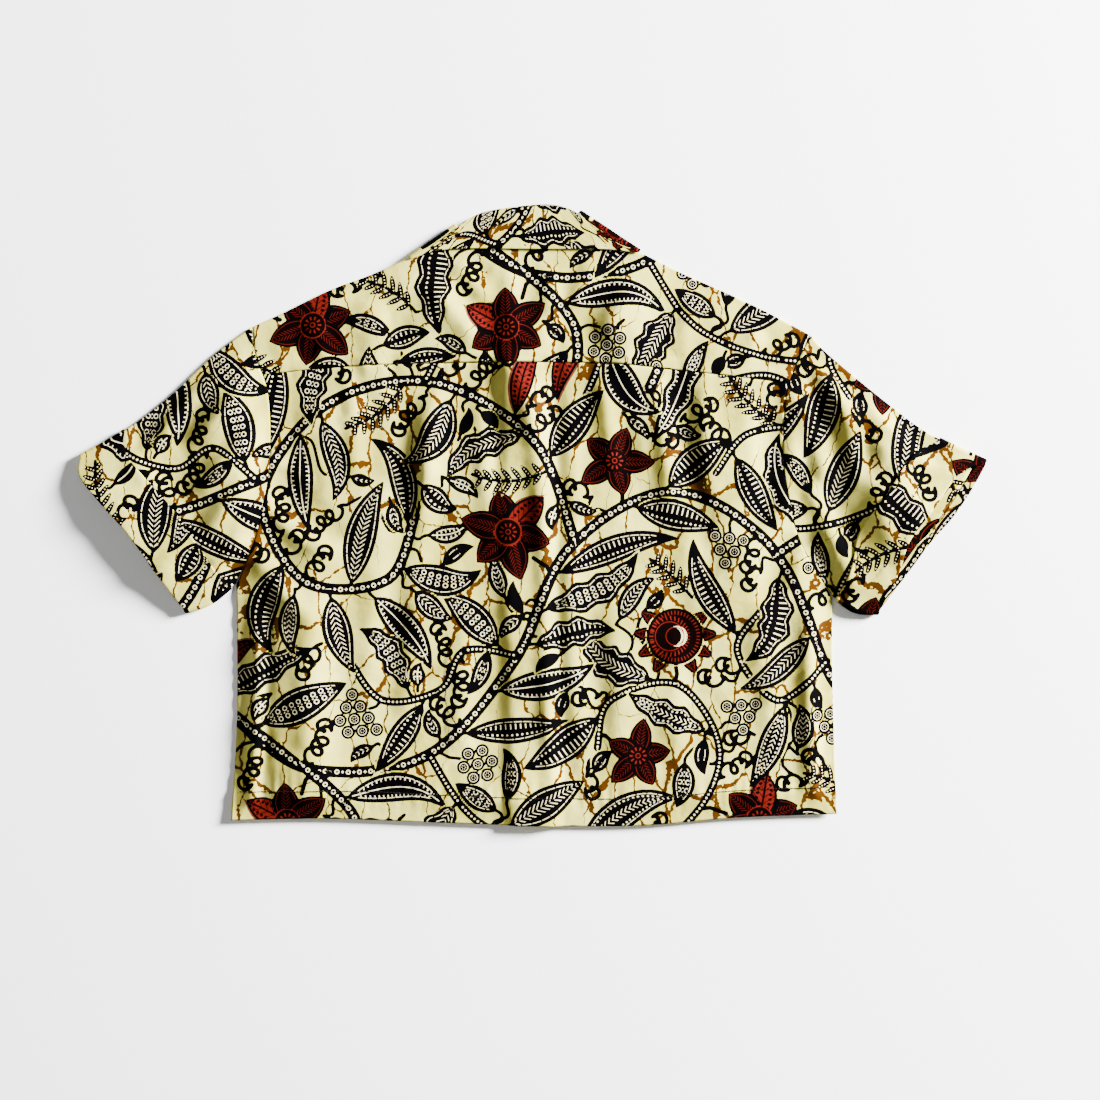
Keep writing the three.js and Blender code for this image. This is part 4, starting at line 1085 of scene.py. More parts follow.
def tendril(loops, radius, pitch):
    """A coiled tendril: a point that goes round while it moves on along an arc, then a hook at its end."""
    t = np.linspace(0, loops * 2 * np.pi, 18 * loops)
    coil = np.stack([8 + pitch * t / (2 * np.pi) - radius * np.sin(t), radius * (1 - np.cos(t))], -1)
    s = np.linspace(0, 1.45 * np.pi, 12)
    hook = coil[-1] + np.stack([4 + 9 * np.sin(s) * (1 - 0.09 * s), 9 * (1 - np.cos(s)) * (1 - 0.09 * s)], -1)
    path = np.concatenate([[(0, 0), (4, -0.5)], coil, hook])
    bend = path[:, 0] / TENDRIL_BEND
    inner = TENDRIL_BEND - path[:, 1]
    path = np.stack([inner * np.sin(bend), TENDRIL_BEND - inner * np.cos(bend)], -1)
    pieces = [path[k:k + 13] for k in range(0, len(path) - 1, 12)]
    return [spine(p, BOLD, PLAIN, 9) for p in pieces if len(p) > 1] + [disc(path[-1], 2.3, PLAIN, 9)]


def star_flower(size, petals, stem):
    """Pointed petals round a heart."""
    centre = np.array([stem + 0.55 * size, 0.0])
    parts = [spine([(0, 0), (0.5 * stem, 3), (stem + 6, 0)], THIN + 0.5, PLAIN, 4)]
    v = np.linspace(0, 1, 10)
    for k in range(petals):
        angle = 2 * np.pi * (k + 0.5) / petals
        way = np.array([np.cos(angle), np.sin(angle)])
        long = size * (0.64 if k % 2 else 0.56)
        width = 0.19 * size * np.sin(np.pi * (0.16 + 0.84 * v) ** 1.15) ** 0.8
        kind = RED_LEAF if k == 1 and petals == 6 else PETAL
        parts.append(spine(centre + v[:, None] * long * way, np.maximum(width, 0.2), kind, 6))
    return parts + [disc(centre, 0.17 * size, HEART, 8)]


def round_flower(radius, stem):
    """A round bloom with small petals round it like a collar."""
    centre = np.array([stem + radius, 0.0])
    parts = [spine([(0, 0), (0.5 * stem, 2), (stem + 3, 0)], THIN + 0.5, PLAIN, 4)]
    for angle in np.radians([150, 118, 86, -86, -118, -150, 54, -54]):
        way = np.array([np.cos(angle), np.sin(angle)])
        v = np.linspace(0.55, 1, 6)
        parts.append(spine(centre + v[:, None] * 1.32 * radius * way, 0.27 * radius * np.sin(np.pi * (v - 0.2)),
                           PETAL, 5, 0.8))
    return parts + [disc(centre, radius, ROUND_FLOWER, 6, 1.2)]


# %% The vines, as listed, and all that grows from them
VINES = [
    # kind, half width, points
    (RING_VINE, 5.3, [(-40, 168), (0, 150), (90, 88), (200, 98), (282, 186), (334, 292), (430, 344), (524, 290),
                      (580, 168), (620, 150), (700, 93)]),
    (RING_VINE, 5.3, [(338, 300), (300, 392), (206, 446), (106, 424), (48, 342), (86, 262), (164, 262), (190, 322)]),
    (RING_VINE, 5.3, [(528, 286), (598, 346), (606, 446), (536, 512), (446, 500), (408, 440)]),
    (RING_VINE, 5.3, [(88, 90), (136, 34), (120, -40), (52, -62)]),
    (DOT_VINE, 3.8, [(204, 98), (250, 36), (338, 6), (432, 26), (474, 98), (436, 164), (372, 150), (360, 106)]),
    (DOT_VINE, 3.8, [(200, 448), (240, 508), (316, 532), (364, 486), (346, 426)]),
    (DOT_VINE, 3.8, [(574, 186), (528, 150), (490, 196), (512, 234)]),
    (DOT_VINE, 3.8, [(602, 356), (556, 400), (500, 398), (470, 362)]),
    (DOT_VINE, 3.8, [(284, 192), (236, 196), (214, 160), (160, 150), (128, 190)]),
    (DOT_VINE, 3.8, [(52, 350), (18, 300), (-28, 260), (-30, 214)]),
]
COARSE_CELL = 3.0  # of the raster on which room is looked for


def chopped(vine):
    """A vine as parts about 60 mm long, which keeps the reckoning short. Their patterns run on."""
    kind, half, table = vine
    curve = line(table)
    pieces = int(np.ceil(curve.length / 60))
    parts = []
    for k in range(pieces):
        shares = np.linspace(k / pieces, (k + 1) / pieces, 11)
        parts.append(spine(curve(shares), half, kind, 1, 0.0, k / pieces * curve.length))
    return parts


print("vines:", len(VINES), "in", sum(len(chopped(vine)) for vine in VINES), "parts")


# %% Find room on the tile
class Finder:
    """Finds points near a place on the tile. The points are sorted once into bins, which wrap round as it does."""

    def __init__(self, q, bins=(20, 18)):
        self.bins = np.array(bins)
        self.size = TILE / self.bins
        cell = np.floor(q % TILE / self.size).astype(int) % self.bins
        key = cell[:, 0] * bins[1] + cell[:, 1]
        self.order = np.argsort(key, kind="stable")
        self.start = np.searchsorted(key[self.order], np.arange(self.bins.prod() + 1))
        self.q = q

    def near(self, middle, reach):
        """Indices of the points in the box round middle, and their places moved next to it."""
        low, high = (np.floor((middle + sign * reach) / self.size).astype(int) for sign in (-1, 1))
        i, j = (np.arange(a, b + 1) % n for a, b, n in zip(low, high, self.bins))
        keys = (i[:, None] * self.bins[1] + j).ravel()
        found = np.concatenate([self.order[self.start[k]:self.start[k + 1]] for k in keys])
        delta = (self.q[found] - middle + TILE / 2) % TILE - TILE / 2
        inside = (np.abs(delta) < reach).all(1)
        return found[inside], middle + delta[inside]


def reach_of(part):
    """The middle of a part's box, and half its size with room for the ink's edge."""
    low, high = part["spine"].min(0), part["spine"].max(0)
    return (low + high) / 2, (high - low) / 2 + part["half"].max() + 4


def footprint(parts, raster, room):
    """Which points of the raster the parts cover, with that much room around."""
    covered = np.zeros(len(raster.q), bool)
    for part in parts:
        near, q = raster.near(*reach_of(part))
        covered[near] |= measure(part, q)[3] < room
    return covered


def connecting_stem(place, on_vines, rng):
    """A thin stem in an easy S from the nearest point of a vine to a motif that stands free, unless it is far."""
    delta = (on_vines - place + TILE / 2) % TILE - TILE / 2
    nearest = delta[np.argmin(np.linalg.norm(delta, axis=1))]
    size = np.linalg.norm(nearest)
    if not 8 < size < 110:
        return []
    bend = left_of(nearest) * rng.uniform(0.12, 0.3) * rng.choice((-1, 1))
    curve = line([place, place + 0.3 * nearest + bend, place + 0.72 * nearest - 0.7 * bend, place + nearest])
    return [spine(curve(np.linspace(0, 1, 16)), THIN, PLAIN, 0)]


print("the tile is searched on a raster of", COARSE_CELL, "mm")


# %% Grow the print
def grow_print(seed=11):
    """All parts of the tile. A motif is kept if it covers less than its allowance of what is already taken."""
    rng = np.random.default_rng(seed)
    raster = Finder(np.stack(np.meshgrid(*(np.arange(0, size, COARSE_CELL) for size in TILE)), -1).reshape(-1, 2))
    parts = [part for vine in VINES for part in chopped(vine)]
    taken = footprint(parts, raster, 1.0)
    curves = [line(table) for _, _, table in VINES]
    on_vines = np.concatenate([curve(np.linspace(0, 1, 60)) for curve in curves])
    lengths = np.array([curve.length for curve in curves])
    leaf_kinds = (HERRINGBONE, EDGE_DOTS, COMB, LACE, FRINGED)

    def big_leaf():
        return leaf(rng.uniform(72, 116), rng.uniform(12, 16.5), rng.uniform(-0.26, 0.26), rng.choice(leaf_kinds),
                    rng.uniform(4, 14), rng.choice((0, 0, 4)))

    def small_leaf():
        return leaf(rng.uniform(38, 62), rng.uniform(8.5, 12.5), rng.uniform(-0.22, 0.22), rng.choice(leaf_kinds), 5)

    makers = [
        # how many at most, tries, room, allowance in cells, whether it may stand free, and what to make
        (3, 60, 3, 12, False, lambda: star_flower(rng.uniform(66, 74), 6, rng.uniform(8, 22))),
        (2, 60, 3, 12, False, lambda: round_flower(rng.uniform(24, 28), rng.uniform(8, 20))),
        (2, 60, 3, 12, False, lambda: star_flower(rng.uniform(54, 60), 5, rng.uniform(8, 22))),
        (3, 90, 2, 10, False, lambda: leaf(rng.uniform(64, 76), rng.uniform(10, 12), 0.12, RED_LEAF, 8)),
        (8, 200, 2, 10, False, lambda: berries(rng.choice((6, 7, 9, 10)), rng.uniform(12, 26))),
        (38, 1300, 2, 26, False, big_leaf),
        (7, 300, 1, 18, False, lambda: fern(rng.uniform(62, 88), rng.uniform(-0.12, 0.12))),
        (28, 1400, 2, 34, False, big_leaf),
        (14, 400, 1, 16, False, lambda: tendril(rng.integers(2, 5), rng.uniform(5.8, 7.0), 11.5)),
        (5, 200, 2, 6, True, lambda: berries(rng.choice((6, 7)), 10)),
        (4, 200, 1, 8, True, lambda: fern(rng.uniform(50, 66), rng.uniform(-0.1, 0.1))),
        (60, 2200, 2, 14, True, small_leaf),
        (40, 1500, 1, 10, True, lambda: tendril(rng.integers(1, 4), rng.uniform(5.4, 6.6), 11)),
        (70, 1800, 1, 8, True, lambda: leaf(rng.uniform(22, 36), rng.uniform(6, 8), 0.16, rng.choice(leaf_kinds), 5)),
    ]
    kept = 0
    for most, tries, room, allowance, free, make in makers:
        made = 0
        for _ in range(tries):
            if made == most:
                break
            motif = make()
            if free:
                place, angle = rng.uniform(0, 1, 2) * TILE, rng.uniform(0, 2 * np.pi)
            else:
                curve = curves[rng.choice(len(curves), p=lengths / lengths.sum())]
                share = rng.uniform(0.02, 0.99)
                place, way = curve(share), direction(curve, np.array([share]))[0]
                angle = np.arctan2(way[1], way[0]) + rng.choice((-1, 1)) * np.radians(rng.uniform(28, 80))
            motif = moved(motif, place, angle, rng.choice((-1, 1)))
            covered = footprint(motif, raster, room)
            if (covered & taken).sum() <= allowance:
                taken |= covered
                parts += motif + (connecting_stem(place, on_vines, rng) if free else [])
                made += 1
        kept += made
    print("motifs on the tile:", kept, "parts:", len(parts), "ink and room cover", round(taken.mean(), 2))
    return sorted(parts, key=lambda part: part["rank"])


print_parts = grow_print()

# %% [markdown]
# ## Printing the cloth
#
# The print goes onto the cloth before it is cut, so each piece reads it at its own place on the flat cloth, and
# the motifs break at the seams as they do on a real shirt. Three attributes carry it: the distance to the nearest
# outline, and within a motif, the place along and across it and its kind, from which the material draws veins,
# dots and rings.

# %% Print a piece
PRINT_PLACE = {
    # where each piece was cut from the printed cloth: its shift in millimetres and its turn in degrees
    "back": (300, 322, 0), "yoke": (96, 402, 0), "collar": (140, 250, 8),
    "front_left": (130, 90, 0), "front_right": (420, 60, 0),
    "sleeve_left": (520, 300, 32), "sleeve_right": (60, 200, -38),
    "cuff_left": (250, 40, 24), "cuff_right": (410, 350, -52),
    "lapel_left": (10, 40, 60), "lapel_right": (90, 240, -60),
}
NO_INK = 9.0
OWNED = 0.9      # faces this close to a motif take their details from it
OWNED_RED = 3.4  # more round a red leaf, whose red was printed a little beside its black


def print_on(name, piece):
    """Work out the ink at each point, and for each corner the place in the motif that owns its face."""
    xy, faces = printable[name]
    shift_x, shift_y, degrees = PRINT_PLACE[name]
    c, s = np.cos(np.radians(degrees)), np.sin(np.radians(degrees))
    q = xy @ np.array([[c, s], [-s, c]]) + (shift_x, shift_y)
    ink, away = np.full(len(q), NO_INK), np.full(len(q), NO_INK)
    measured = np.zeros((len(q), 3))
    place, kind = np.zeros((len(faces), 4, 3)), np.zeros((len(faces), 4))
    printed = np.zeros(len(q), bool)
    printed[faces.ravel()] = True
    points, first_corners = Finder(q), Finder(q[faces[:, 0]])
    for part in print_parts:
        near, at = points.near(*reach_of(part))
        if not len(near):
            continue
        *where, distance = measure(part, at)
        if part["halo"]:
            ink[near] = np.maximum(ink[near], np.minimum(part["halo"] - distance, NO_INK))
        ink[near] = np.minimum(ink[near], distance)
        if part["kind"] == PLAIN:
            continue
        away[near] = distance
        measured[near] = np.stack(where, -1)
        close = first_corners.near(*reach_of(part))[0]
        close = close[away[faces[close]].mean(1) < (OWNED_RED if part["kind"] == RED_LEAF else OWNED)]
        place[close] = measured[faces[close]]
        kind[close] = part["kind"]
        away[near] = NO_INK
    ink[~printed] = NO_INK
    mesh = piece.data
    mesh.attributes.new("ink", "FLOAT", "POINT").data.foreach_set("value", ink.astype(np.float32))
    corners = len(mesh.loops)
    full_place, full_kind = np.zeros((corners, 3), np.float32), np.zeros(corners, np.float32)
    full_place[:faces.size], full_kind[:faces.size] = place.reshape(-1, 3), kind.ravel()
    mesh.attributes.new("place", "FLOAT_VECTOR", "CORNER").data.foreach_set("vector", full_place.ravel())
    mesh.attributes.new("kind", "FLOAT", "CORNER").data.foreach_set("value", full_kind)
    return float((ink < 0)[printed].mean())


for name, piece in cloth.items():
    print(name, "inked share", round(print_on(name, piece), 2))

# %% [markdown]
# ## The cloth's material
#
# Printed cotton is one material in layers. The ground is a pale dyed cream, never quite even. The wax that keeps
# the dye out cracks, and ochre runs into the cracks as fine branching lines. Over it comes the black of the motifs,
# opened by their veins and dots, and a dull red in the flowers. Last come the weave and small wrinkles as bump.
# Each effect is a node group with named sockets, so that it can be tried with other values.


# %% Reckoning with sockets
class Value:
    """A number that changes over the surface. Each sum or comparison with it adds one Math node."""

    def __init__(self, tree, socket):
        self.tree, self.socket = tree, socket

    def math(self, operation, *others):
        node = self.tree.nodes.new("ShaderNodeMath")
        node.operation = operation
        for slot, value in zip(node.inputs, (self, *others)):
            if isinstance(value, Value):
                self.tree.links.new(value.socket, slot)
            else:
                slot.default_value = value
        return Value(self.tree, node.outputs[0])

    def __add__(self, other): return self.math("ADD", other)
    def __sub__(self, other): return self.math("SUBTRACT", other)
    def __mul__(self, other): return self.math("MULTIPLY", other)
    def __lt__(self, other): return self.math("LESS_THAN", other)
    def __gt__(self, other): return self.math("GREATER_THAN", other)
    def __mod__(self, other): return self.math("FLOORED_MODULO", other)
    def __abs__(self): return self.math("ABSOLUTE")
    def __or__(self, other): return self.math("MAXIMUM", other)
    def __and__(self, other): return self.math("MINIMUM", other)
    def far(self, other): return (self * self + other * other).math("SQRT")
    def between(self, low, high): return (self > low) & (self < high)
    def ramp(self, low, high):
        node = self.tree.nodes.new("ShaderNodeMapRange")
        node.interpolation_type = "SMOOTHSTEP"
        node.inputs["From Min"].default_value, node.inputs["From Max"].default_value = low, high
        self.tree.links.new(self.socket, node.inputs["Value"])
        return Value(self.tree, node.outputs["Result"])


def new_group(name, inputs, outputs):
    """An empty node group with named sockets: (name, type, default) for inputs, (name, type) for outputs."""
    tree = bpy.data.node_groups.new(name, "ShaderNodeTree")
    for label, kind, default in inputs:
        tree.interface.new_socket(label, in_out="INPUT", socket_type=f"NodeSocket{kind}").default_value = default
    for label, kind in outputs:
        tree.interface.new_socket(label, in_out="OUTPUT", socket_type=f"NodeSocket{kind}")
    return tree, tree.nodes.new("NodeGroupInput").outputs, tree.nodes.new("NodeGroupOutput").inputs


def node(tree, kind, links=(), **settings):
    """A node with settings, and its inputs given as (input, a Value, a socket or a plain value)."""
    made = tree.nodes.new(f"ShaderNode{kind}")
    for key, value in settings.items():
        setattr(made, key, value)
    for slot, source in links:
        source = source.socket if isinstance(source, Value) else source
        if isinstance(source, bpy.types.NodeSocket):
            tree.links.new(source, made.inputs[slot])
        else:
            made.inputs[slot].default_value = source
    return made


def blend(tree, share, low, high):
    """A colour mixed from low to high by a share. The mixer's colour sockets are its inputs 6 and 7."""
    return node(tree, "Mix", [(0, share), (6, low), (7, high)], data_type="RGBA").outputs[2]


def new_material(name):
    """An empty material, its node tree and its shader."""
    material = bpy.data.materials.new(name)
    material.use_nodes = True
    return material, material.node_tree, material.node_tree.nodes["Principled BSDF"]


print("shares, sums and comparisons are now written as plain Python")


# %% Motif details, drawn from the place within a motif
def motif_group():
    """Opened is where cream shows inside the black, Red and Maroon where it is coloured, and Beside where red
    shows outside it. All sizes are in millimetres."""
    tree, given, out = new_group(
        "motif details", [("Place", "Vector", (0, 0, 0)), ("Kind", "Float", 0.0)],
        [("Opened", "Float"), ("Red", "Float"), ("Maroon", "Float"), ("Beside", "Float")])
    parts = node(tree, "SeparateXYZ", [("Vector", given["Place"])])
    a, b, c = (Value(tree, parts.outputs[axis]) for axis in "XYZ")
    kind = Value(tree, given["Kind"])

    def is_kind(number):
        return kind.between(number - 0.5, number + 0.5)

    beside = abs(b)
    edge = c - beside
    broken = (a % 9.0) > 1.3
    line_inside = edge.between(3.7, 4.45) & broken & (c > 6.6)
    core = beside < c * 0.36
    teeth = (a - beside * 1.1) % 4.7 < 1.15
    fine_teeth = (a - beside * 1.1) % 3.2 < 0.55

    def dots(along, across, pitch, radius):
        return (along % pitch - pitch / 2).far(across) < radius

    cross_cell = (a + 5.2) % 10.4 - 5.2
    ring_vine = (a % 10.4 - 5.2).far(b).between(1.15, 2.2) | ((abs(cross_cell) + beside) < 1.4)
    dot_vine = dots(a, b, 3.9, 1.05)
    broad = c > 6.5
    short_teeth = teeth & core & (beside > 0.5) & (edge > 2.2)
    herring = line_inside | short_teeth
    edge_dots = line_inside | (dots(a, edge - 6.4, 4.2, 0.9) & (c > 8.0))
    edge_dots = edge_dots | (teeth & (beside < c * 0.22) & (edge > 2.8))
    comb = line_inside | ((a % 4.7 < 1.1) & (b > 1.4) & (edge > 6.0))
    comb = comb | (dots(a, b + c * 0.34, 4.6, 0.95) & (edge > 5.8))
    loops = (a % 7.4 - 3.7).far(beside - 3.6)
    lace = line_inside | (loops.between(1.5, 2.35) & (edge > 5.8)) | (dots(a, beside, 3.7, 0.6) & (edge > 7.0))
    fringed = line_inside | ((a % 4.2 < 1.05) & edge.between(4.4, 6.8) & broad) | ((beside < 0.5) & (edge > 4.0))
    radius = a.far(b)
    turn = b.math("ARCTAN2", a)
    rosette = ((turn * 6).math("COSINE") > 0.7) & radius.between(1.2, 2.2)
    berry = radius.between(3.5, 4.1) | rosette
    leaflet = dots(a, b, 2.9, 0.56)
    petal = edge.between(2.6, 3.05) | (fine_teeth & core & (beside > 0.6) & (c > 4.0))
    rays = ((turn * 10).math("COSINE") > 0.45) & radius.between(4.8, 8.0)
    heart = radius.between(1.7, 2.5) | rays | (radius > 11.4)
    crescent = (a + 5.0).far(b)
    ribbed = (turn * 28).math("COSINE") > 0.6
    outer_comb = ((turn * 44).math("COSINE") > 0.6) & (c - radius).between(2.6, 6.0)
    round_red = crescent.between(13.0, 13.8) | (ribbed & crescent.between(15.0, 19.0)) | radius.between(8.0, 8.8)
    round_red = round_red | outer_comb
    moon = (a - 2.0).far(b).math("LESS_THAN", 9.5) & (a + 3.0).far(b).math("GREATER_THAN", 9.0)
    blots = (a % 4.4 - 2.2).far((beside - c * 0.5) * 0.8) < 1.35
    red_leaf = edge.between(2.3, 30.0) & (beside > 0.9) & (abs(blots - 1.0) > 0.5) & ((a - beside) % 6.6 > 0.9)
    beside_black = (edge < 0.0) & (edge > -1.8) & (b > 0.0) & is_kind(RED_LEAF)

    def gathered(pairs):
        total = None
        for number, mask in pairs:
            part = mask & is_kind(number)
            total = part if total is None else total | part
        return total

    cream = gathered([
        (RING_VINE, ring_vine), (DOT_VINE, dot_vine), (HERRINGBONE, herring), (EDGE_DOTS, edge_dots), (COMB, comb),
        (LACE, lace), (FRINGED, fringed), (BERRY, berry), (LEAFLET, leaflet), (ROUND_FLOWER, moon)])
    red = gathered([(PETAL, petal), (HEART, heart), (ROUND_FLOWER, round_red), (RED_LEAF, red_leaf)])
    maroon = gathered([(PETAL, edge > 2.0), (HEART, radius > 0.0), (ROUND_FLOWER, edge > -50.0)])
    for label, value in (("Opened", cream), ("Red", red), ("Maroon", maroon), ("Beside", beside_black)):
        tree.links.new(value.socket, out[label])
    return tree


motif_details = motif_group()
print("motif details take", len(motif_details.nodes), "nodes")


# %% Crackle and ground
def crackle_group():
    """Ochre lines where warped cells meet, only in some places, with small blots."""
    tree, given, out = new_group("crackle", [("Cloth", "Vector", (0, 0, 0)), ("Amount", "Float", 0.66)],
                                 [("Lines", "Float"), ("Mottle", "Float")])

    def noise_over(scale, detail):
        return node(tree, "TexNoise", [("Vector", given["Cloth"]), ("Scale", scale), ("Detail", detail)])

    warp = noise_over(45.0, 3.0)
    shift = node(tree, "VectorMath", [(0, warp.outputs["Color"]), (1, (0.5, 0.5, 0.5))], operation="SUBTRACT")
    push = node(tree, "VectorMath", [(0, shift.outputs[0]), ("Scale", 0.016)], operation="SCALE")
    bent = node(tree, "VectorMath", [(0, given["Cloth"]), (1, push.outputs[0])], operation="ADD")
    tall = node(tree, "Mapping", [("Vector", bent.outputs[0]), ("Rotation", (0, 0, 0.3)), ("Scale", (1.5, 0.62, 1))])
    cells = node(tree, "TexVoronoi", [("Vector", tall.outputs[0]), ("Scale", 25.0)], feature="DISTANCE_TO_EDGE")
    where = Value(tree, noise_over(9.0, 2.0).outputs["Fac"])
    fine = Value(tree, noise_over(260.0, 2.0).outputs["Fac"])
    width = where.ramp(0.30, 0.62) * (fine * 0.085 + (-0.015)) * Value(tree, given["Amount"]) * 2.0
    lines = Value(tree, cells.outputs["Distance"]) < width
    tree.links.new(lines.socket, out["Lines"])
    tree.links.new(noise_over(16.0, 5.0).outputs["Fac"], out["Mottle"])
    return tree


# %% Plain weave
def weave_group():
    """Height of a plain weave: two sets of yarns that take turns on top, with slubs."""
    tree, given, out = new_group("plain weave", [("Cloth", "Vector", (0, 0, 0)), ("Pitch", "Float", 0.00055)],
                                 [("Height", "Float"), ("Slub", "Float")])
    parts = node(tree, "SeparateXYZ", [("Vector", given["Cloth"])])
    pitch = Value(tree, given["Pitch"])
    x, y = (Value(tree, parts.outputs[axis]).math("DIVIDE", pitch) * np.pi for axis in "XY")
    over = x.math("SINE") * y.math("SINE")
    warp, weft = abs(x.math("COSINE")), abs(y.math("COSINE"))
    height = (over > 0) * warp + (over < 0) * weft
    slub = node(tree, "Mapping", [("Vector", given["Cloth"]), ("Scale", (900, 60, 1))])
    slubs = node(tree, "TexNoise", [("Vector", slub.outputs[0]), ("Scale", 1.0), ("Detail", 2.0)])
    tree.links.new(height.socket, out["Height"])
    tree.links.new(slubs.outputs["Fac"], out["Slub"])
    return tree


crackle, weave = crackle_group(), weave_group()
print("crackle and weave take", len(crackle.nodes) + len(weave.nodes), "nodes")

# %% The printed cotton
CREAM, PALE = (0.405, 0.362, 0.052, 1), (0.545, 0.506, 0.112, 1)
OPENED, BLACK = (0.56, 0.50, 0.27, 1), (0.0006, 0.0005, 0.0007, 1)
OCHRE, RED, MAROON = (0.046, 0.0158, 0.0014, 1), (0.078, 0.0050, 0.0030, 1), (0.0013, 0.0004, 0.0004, 1)
YARN = (0.38, 0.33, 0.17, 1)


def printed_cotton():
    """Ground, crackle, motifs and their details, each blended over the last by its mask, with the weave on top."""
    material, tree, shader = new_material("printed_cotton")
    flat = node(tree, "UVMap", uv_map="cloth").outputs["UV"]
    ink = Value(tree, node(tree, "Attribute", attribute_name="ink").outputs["Fac"])
    place = node(tree, "Attribute", attribute_name="place").outputs["Vector"]
    kind = node(tree, "Attribute", attribute_name="kind").outputs["Fac"]

    def placed(group, *links):
        made = node(tree, "Group", node_tree=group)
        for label, source in links:
            tree.links.new(source, made.inputs[label])
        return made.outputs

    details = placed(motif_details, ("Place", place), ("Kind", kind))
    cracks = placed(crackle, ("Cloth", flat))
    yarns = placed(weave, ("Cloth", flat))
    inked = ink < 0.0
    mottle = Value(tree, cracks["Mottle"])
    ground = blend(tree, mottle.ramp(0.35, 0.65), CREAM, PALE)
    ground = blend(tree, Value(tree, cracks["Lines"]), ground, OCHRE)
    black = blend(tree, Value(tree, details["Maroon"]), BLACK, MAROON)
    motif = blend(tree, Value(tree, details["Opened"]), black, OPENED)
    motif = blend(tree, Value(tree, details["Red"]), motif, RED)
    ground = blend(tree, Value(tree, details["Beside"]), ground, RED)
    colour = blend(tree, inked, ground, motif)
    bare = (inked * (-1.0) + 1.0) * (Value(tree, cracks["Lines"]) * (-1.0) + 1.0)
    yarn = Value(tree, yarns["Slub"]).ramp(0.3, 0.7) * (bare * 0.12)
    colour = blend(tree, yarn, colour, YARN)
    tree.links.new(colour, shader.inputs["Base Color"])
    rough = inked * (-0.1) + mottle * 0.08 + 0.8
    tree.links.new(rough.socket, shader.inputs["Roughness"])
    shader.inputs["Specular IOR Level"].default_value = 0.004
    wrinkle = node(tree, "TexNoise", [("Vector", flat), ("Scale", 70.0), ("Detail", 4.0)])
    small = node(tree, "Bump", [("Height", wrinkle.outputs["Fac"]), ("Strength", 0.3), ("Distance", 0.003)])
    weave_bump = node(tree, "Bump", [("Height", yarns["Height"]), ("Strength", 0.25), ("Distance", 0.0002),
                                     ("Normal", small.outputs["Normal"])])
    tree.links.new(weave_bump.outputs["Normal"], shader.inputs["Normal"])
    return material


cotton = printed_cotton()
for piece in cloth.values():
    piece.data.materials.append(cotton)
print("cloth material on", len(cloth), "pieces")

# %% [markdown]
# ## Hem stitches
#
# The hem is turned up and stitched with a dark thread. Each stitch is a short round bar that sinks at its ends, and
# all of a row are one mesh, worked out at once.


# %% Stitch the hems
THREAD = {"long": 2.85, "pitch": 3.1, "radius": 0.5, "around": 6, "rings": 5}


def stitches(name, path, outward):
    """Bars along a path (n, 3) in millimetres, one from each pitch, with rounded ends. outward is up or down."""
    run = np.concatenate([[0], np.cumsum(np.linalg.norm(np.diff(path, axis=0), axis=1))])
    starts = np.arange(4, run[-1] - 4, THREAD["pitch"])
    along = np.linspace(0, 1, THREAD["rings"])
    at = starts[:, None] + along * THREAD["long"]
    centre = np.stack([np.interp(at, run, path[:, k]) for k in range(3)], -1)
    centre[..., 2] += outward * 0.55 * THREAD["radius"] * np.sin(np.pi * along)
    way = centre[:, -1] - centre[:, 0]
    way /= np.linalg.norm(way, axis=1)[:, None]
    aside = np.cross(way, [0, 0, 1.0])
    up = np.cross(aside, way)
    angle = np.arange(THREAD["around"]) * 2 * np.pi / THREAD["around"]
    radius = THREAD["radius"] * np.sqrt(np.clip(1 - (2 * along - 1) ** 4, 0.12, 1))
    ring = aside[:, None] * np.cos(angle)[:, None] + up[:, None] * np.sin(angle)[:, None]
    points = centre[:, :, None] + radius[None, :, None, None] * ring[:, None]
    shape = points.shape[:3]
    flat = np.stack([np.broadcast_to(at[..., None], shape), np.broadcast_to(angle, shape)], -1)
    return mesh_piece(name, points.reshape(-1, 3), flat.reshape(-1, 2), bar_faces(shape), printed=0)


STITCH_ROW = HEM_DEPTH - 1.5       # how far the row runs above the hem's edge
across = np.linspace(0.004, 0.996, 400)
drop = np.linalg.norm(yoke_seam(across) - hem_line(across), axis=1)
hem_plan, hem_height = back_surface(across, 1 - STITCH_ROW / drop)
back_row = lifted(hem_plan, hem_height + CLOTH / 2 + 0.08)
thread_pieces = {"hem_stitches_back": stitches("hem_stitches_back", back_row, 1)}
for side, reach in (("left", (0.004, 0.52)), ("right", (0.478, 0.996))):
    plan = hem_line(np.linspace(*reach, 240)) + [0, STITCH_ROW]
    row = lifted(plan, front_height_of[side](plan) - CLOTH / 2 + 0.59)
    name = f"hem_stitches_{side}"
    thread_pieces[name] = stitches(name, row, -1)


def thread_material():
    """Twisted dark cotton: fine slanting ridges, with painted shade that darkens the grooves between them, and a dull
    finish.
    """
    material, tree, shader = new_material("dark_thread")
    place = node(tree, "TexCoord").outputs["Object"]
    ply = node(tree, "TexWave", [("Vector", place), ("Scale", 900.0), ("Distortion", 0.6)],
               bands_direction="DIAGONAL")
    # painted shade: the thread's colour is darker where the ridges' bump dips, in the grooves between the plies
    shade = blend(tree, Value(tree, ply.outputs["Fac"]), (0.0016, 0.0013, 0.001, 1), (0.006, 0.0045, 0.003, 1))
    tree.links.new(shade, shader.inputs["Base Color"])
    bump = node(tree, "Bump", [("Height", ply.outputs["Fac"]), ("Strength", 0.4), ("Distance", 0.0001)])
    tree.links.new(bump.outputs["Normal"], shader.inputs["Normal"])
    shader.inputs["Roughness"].default_value = 0.85
    shader.inputs["Specular IOR Level"].default_value = 0.05
    return material


thread = thread_material()
for piece in thread_pieces.values():
    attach(piece, "root")
    piece.data.materials.append(thread)

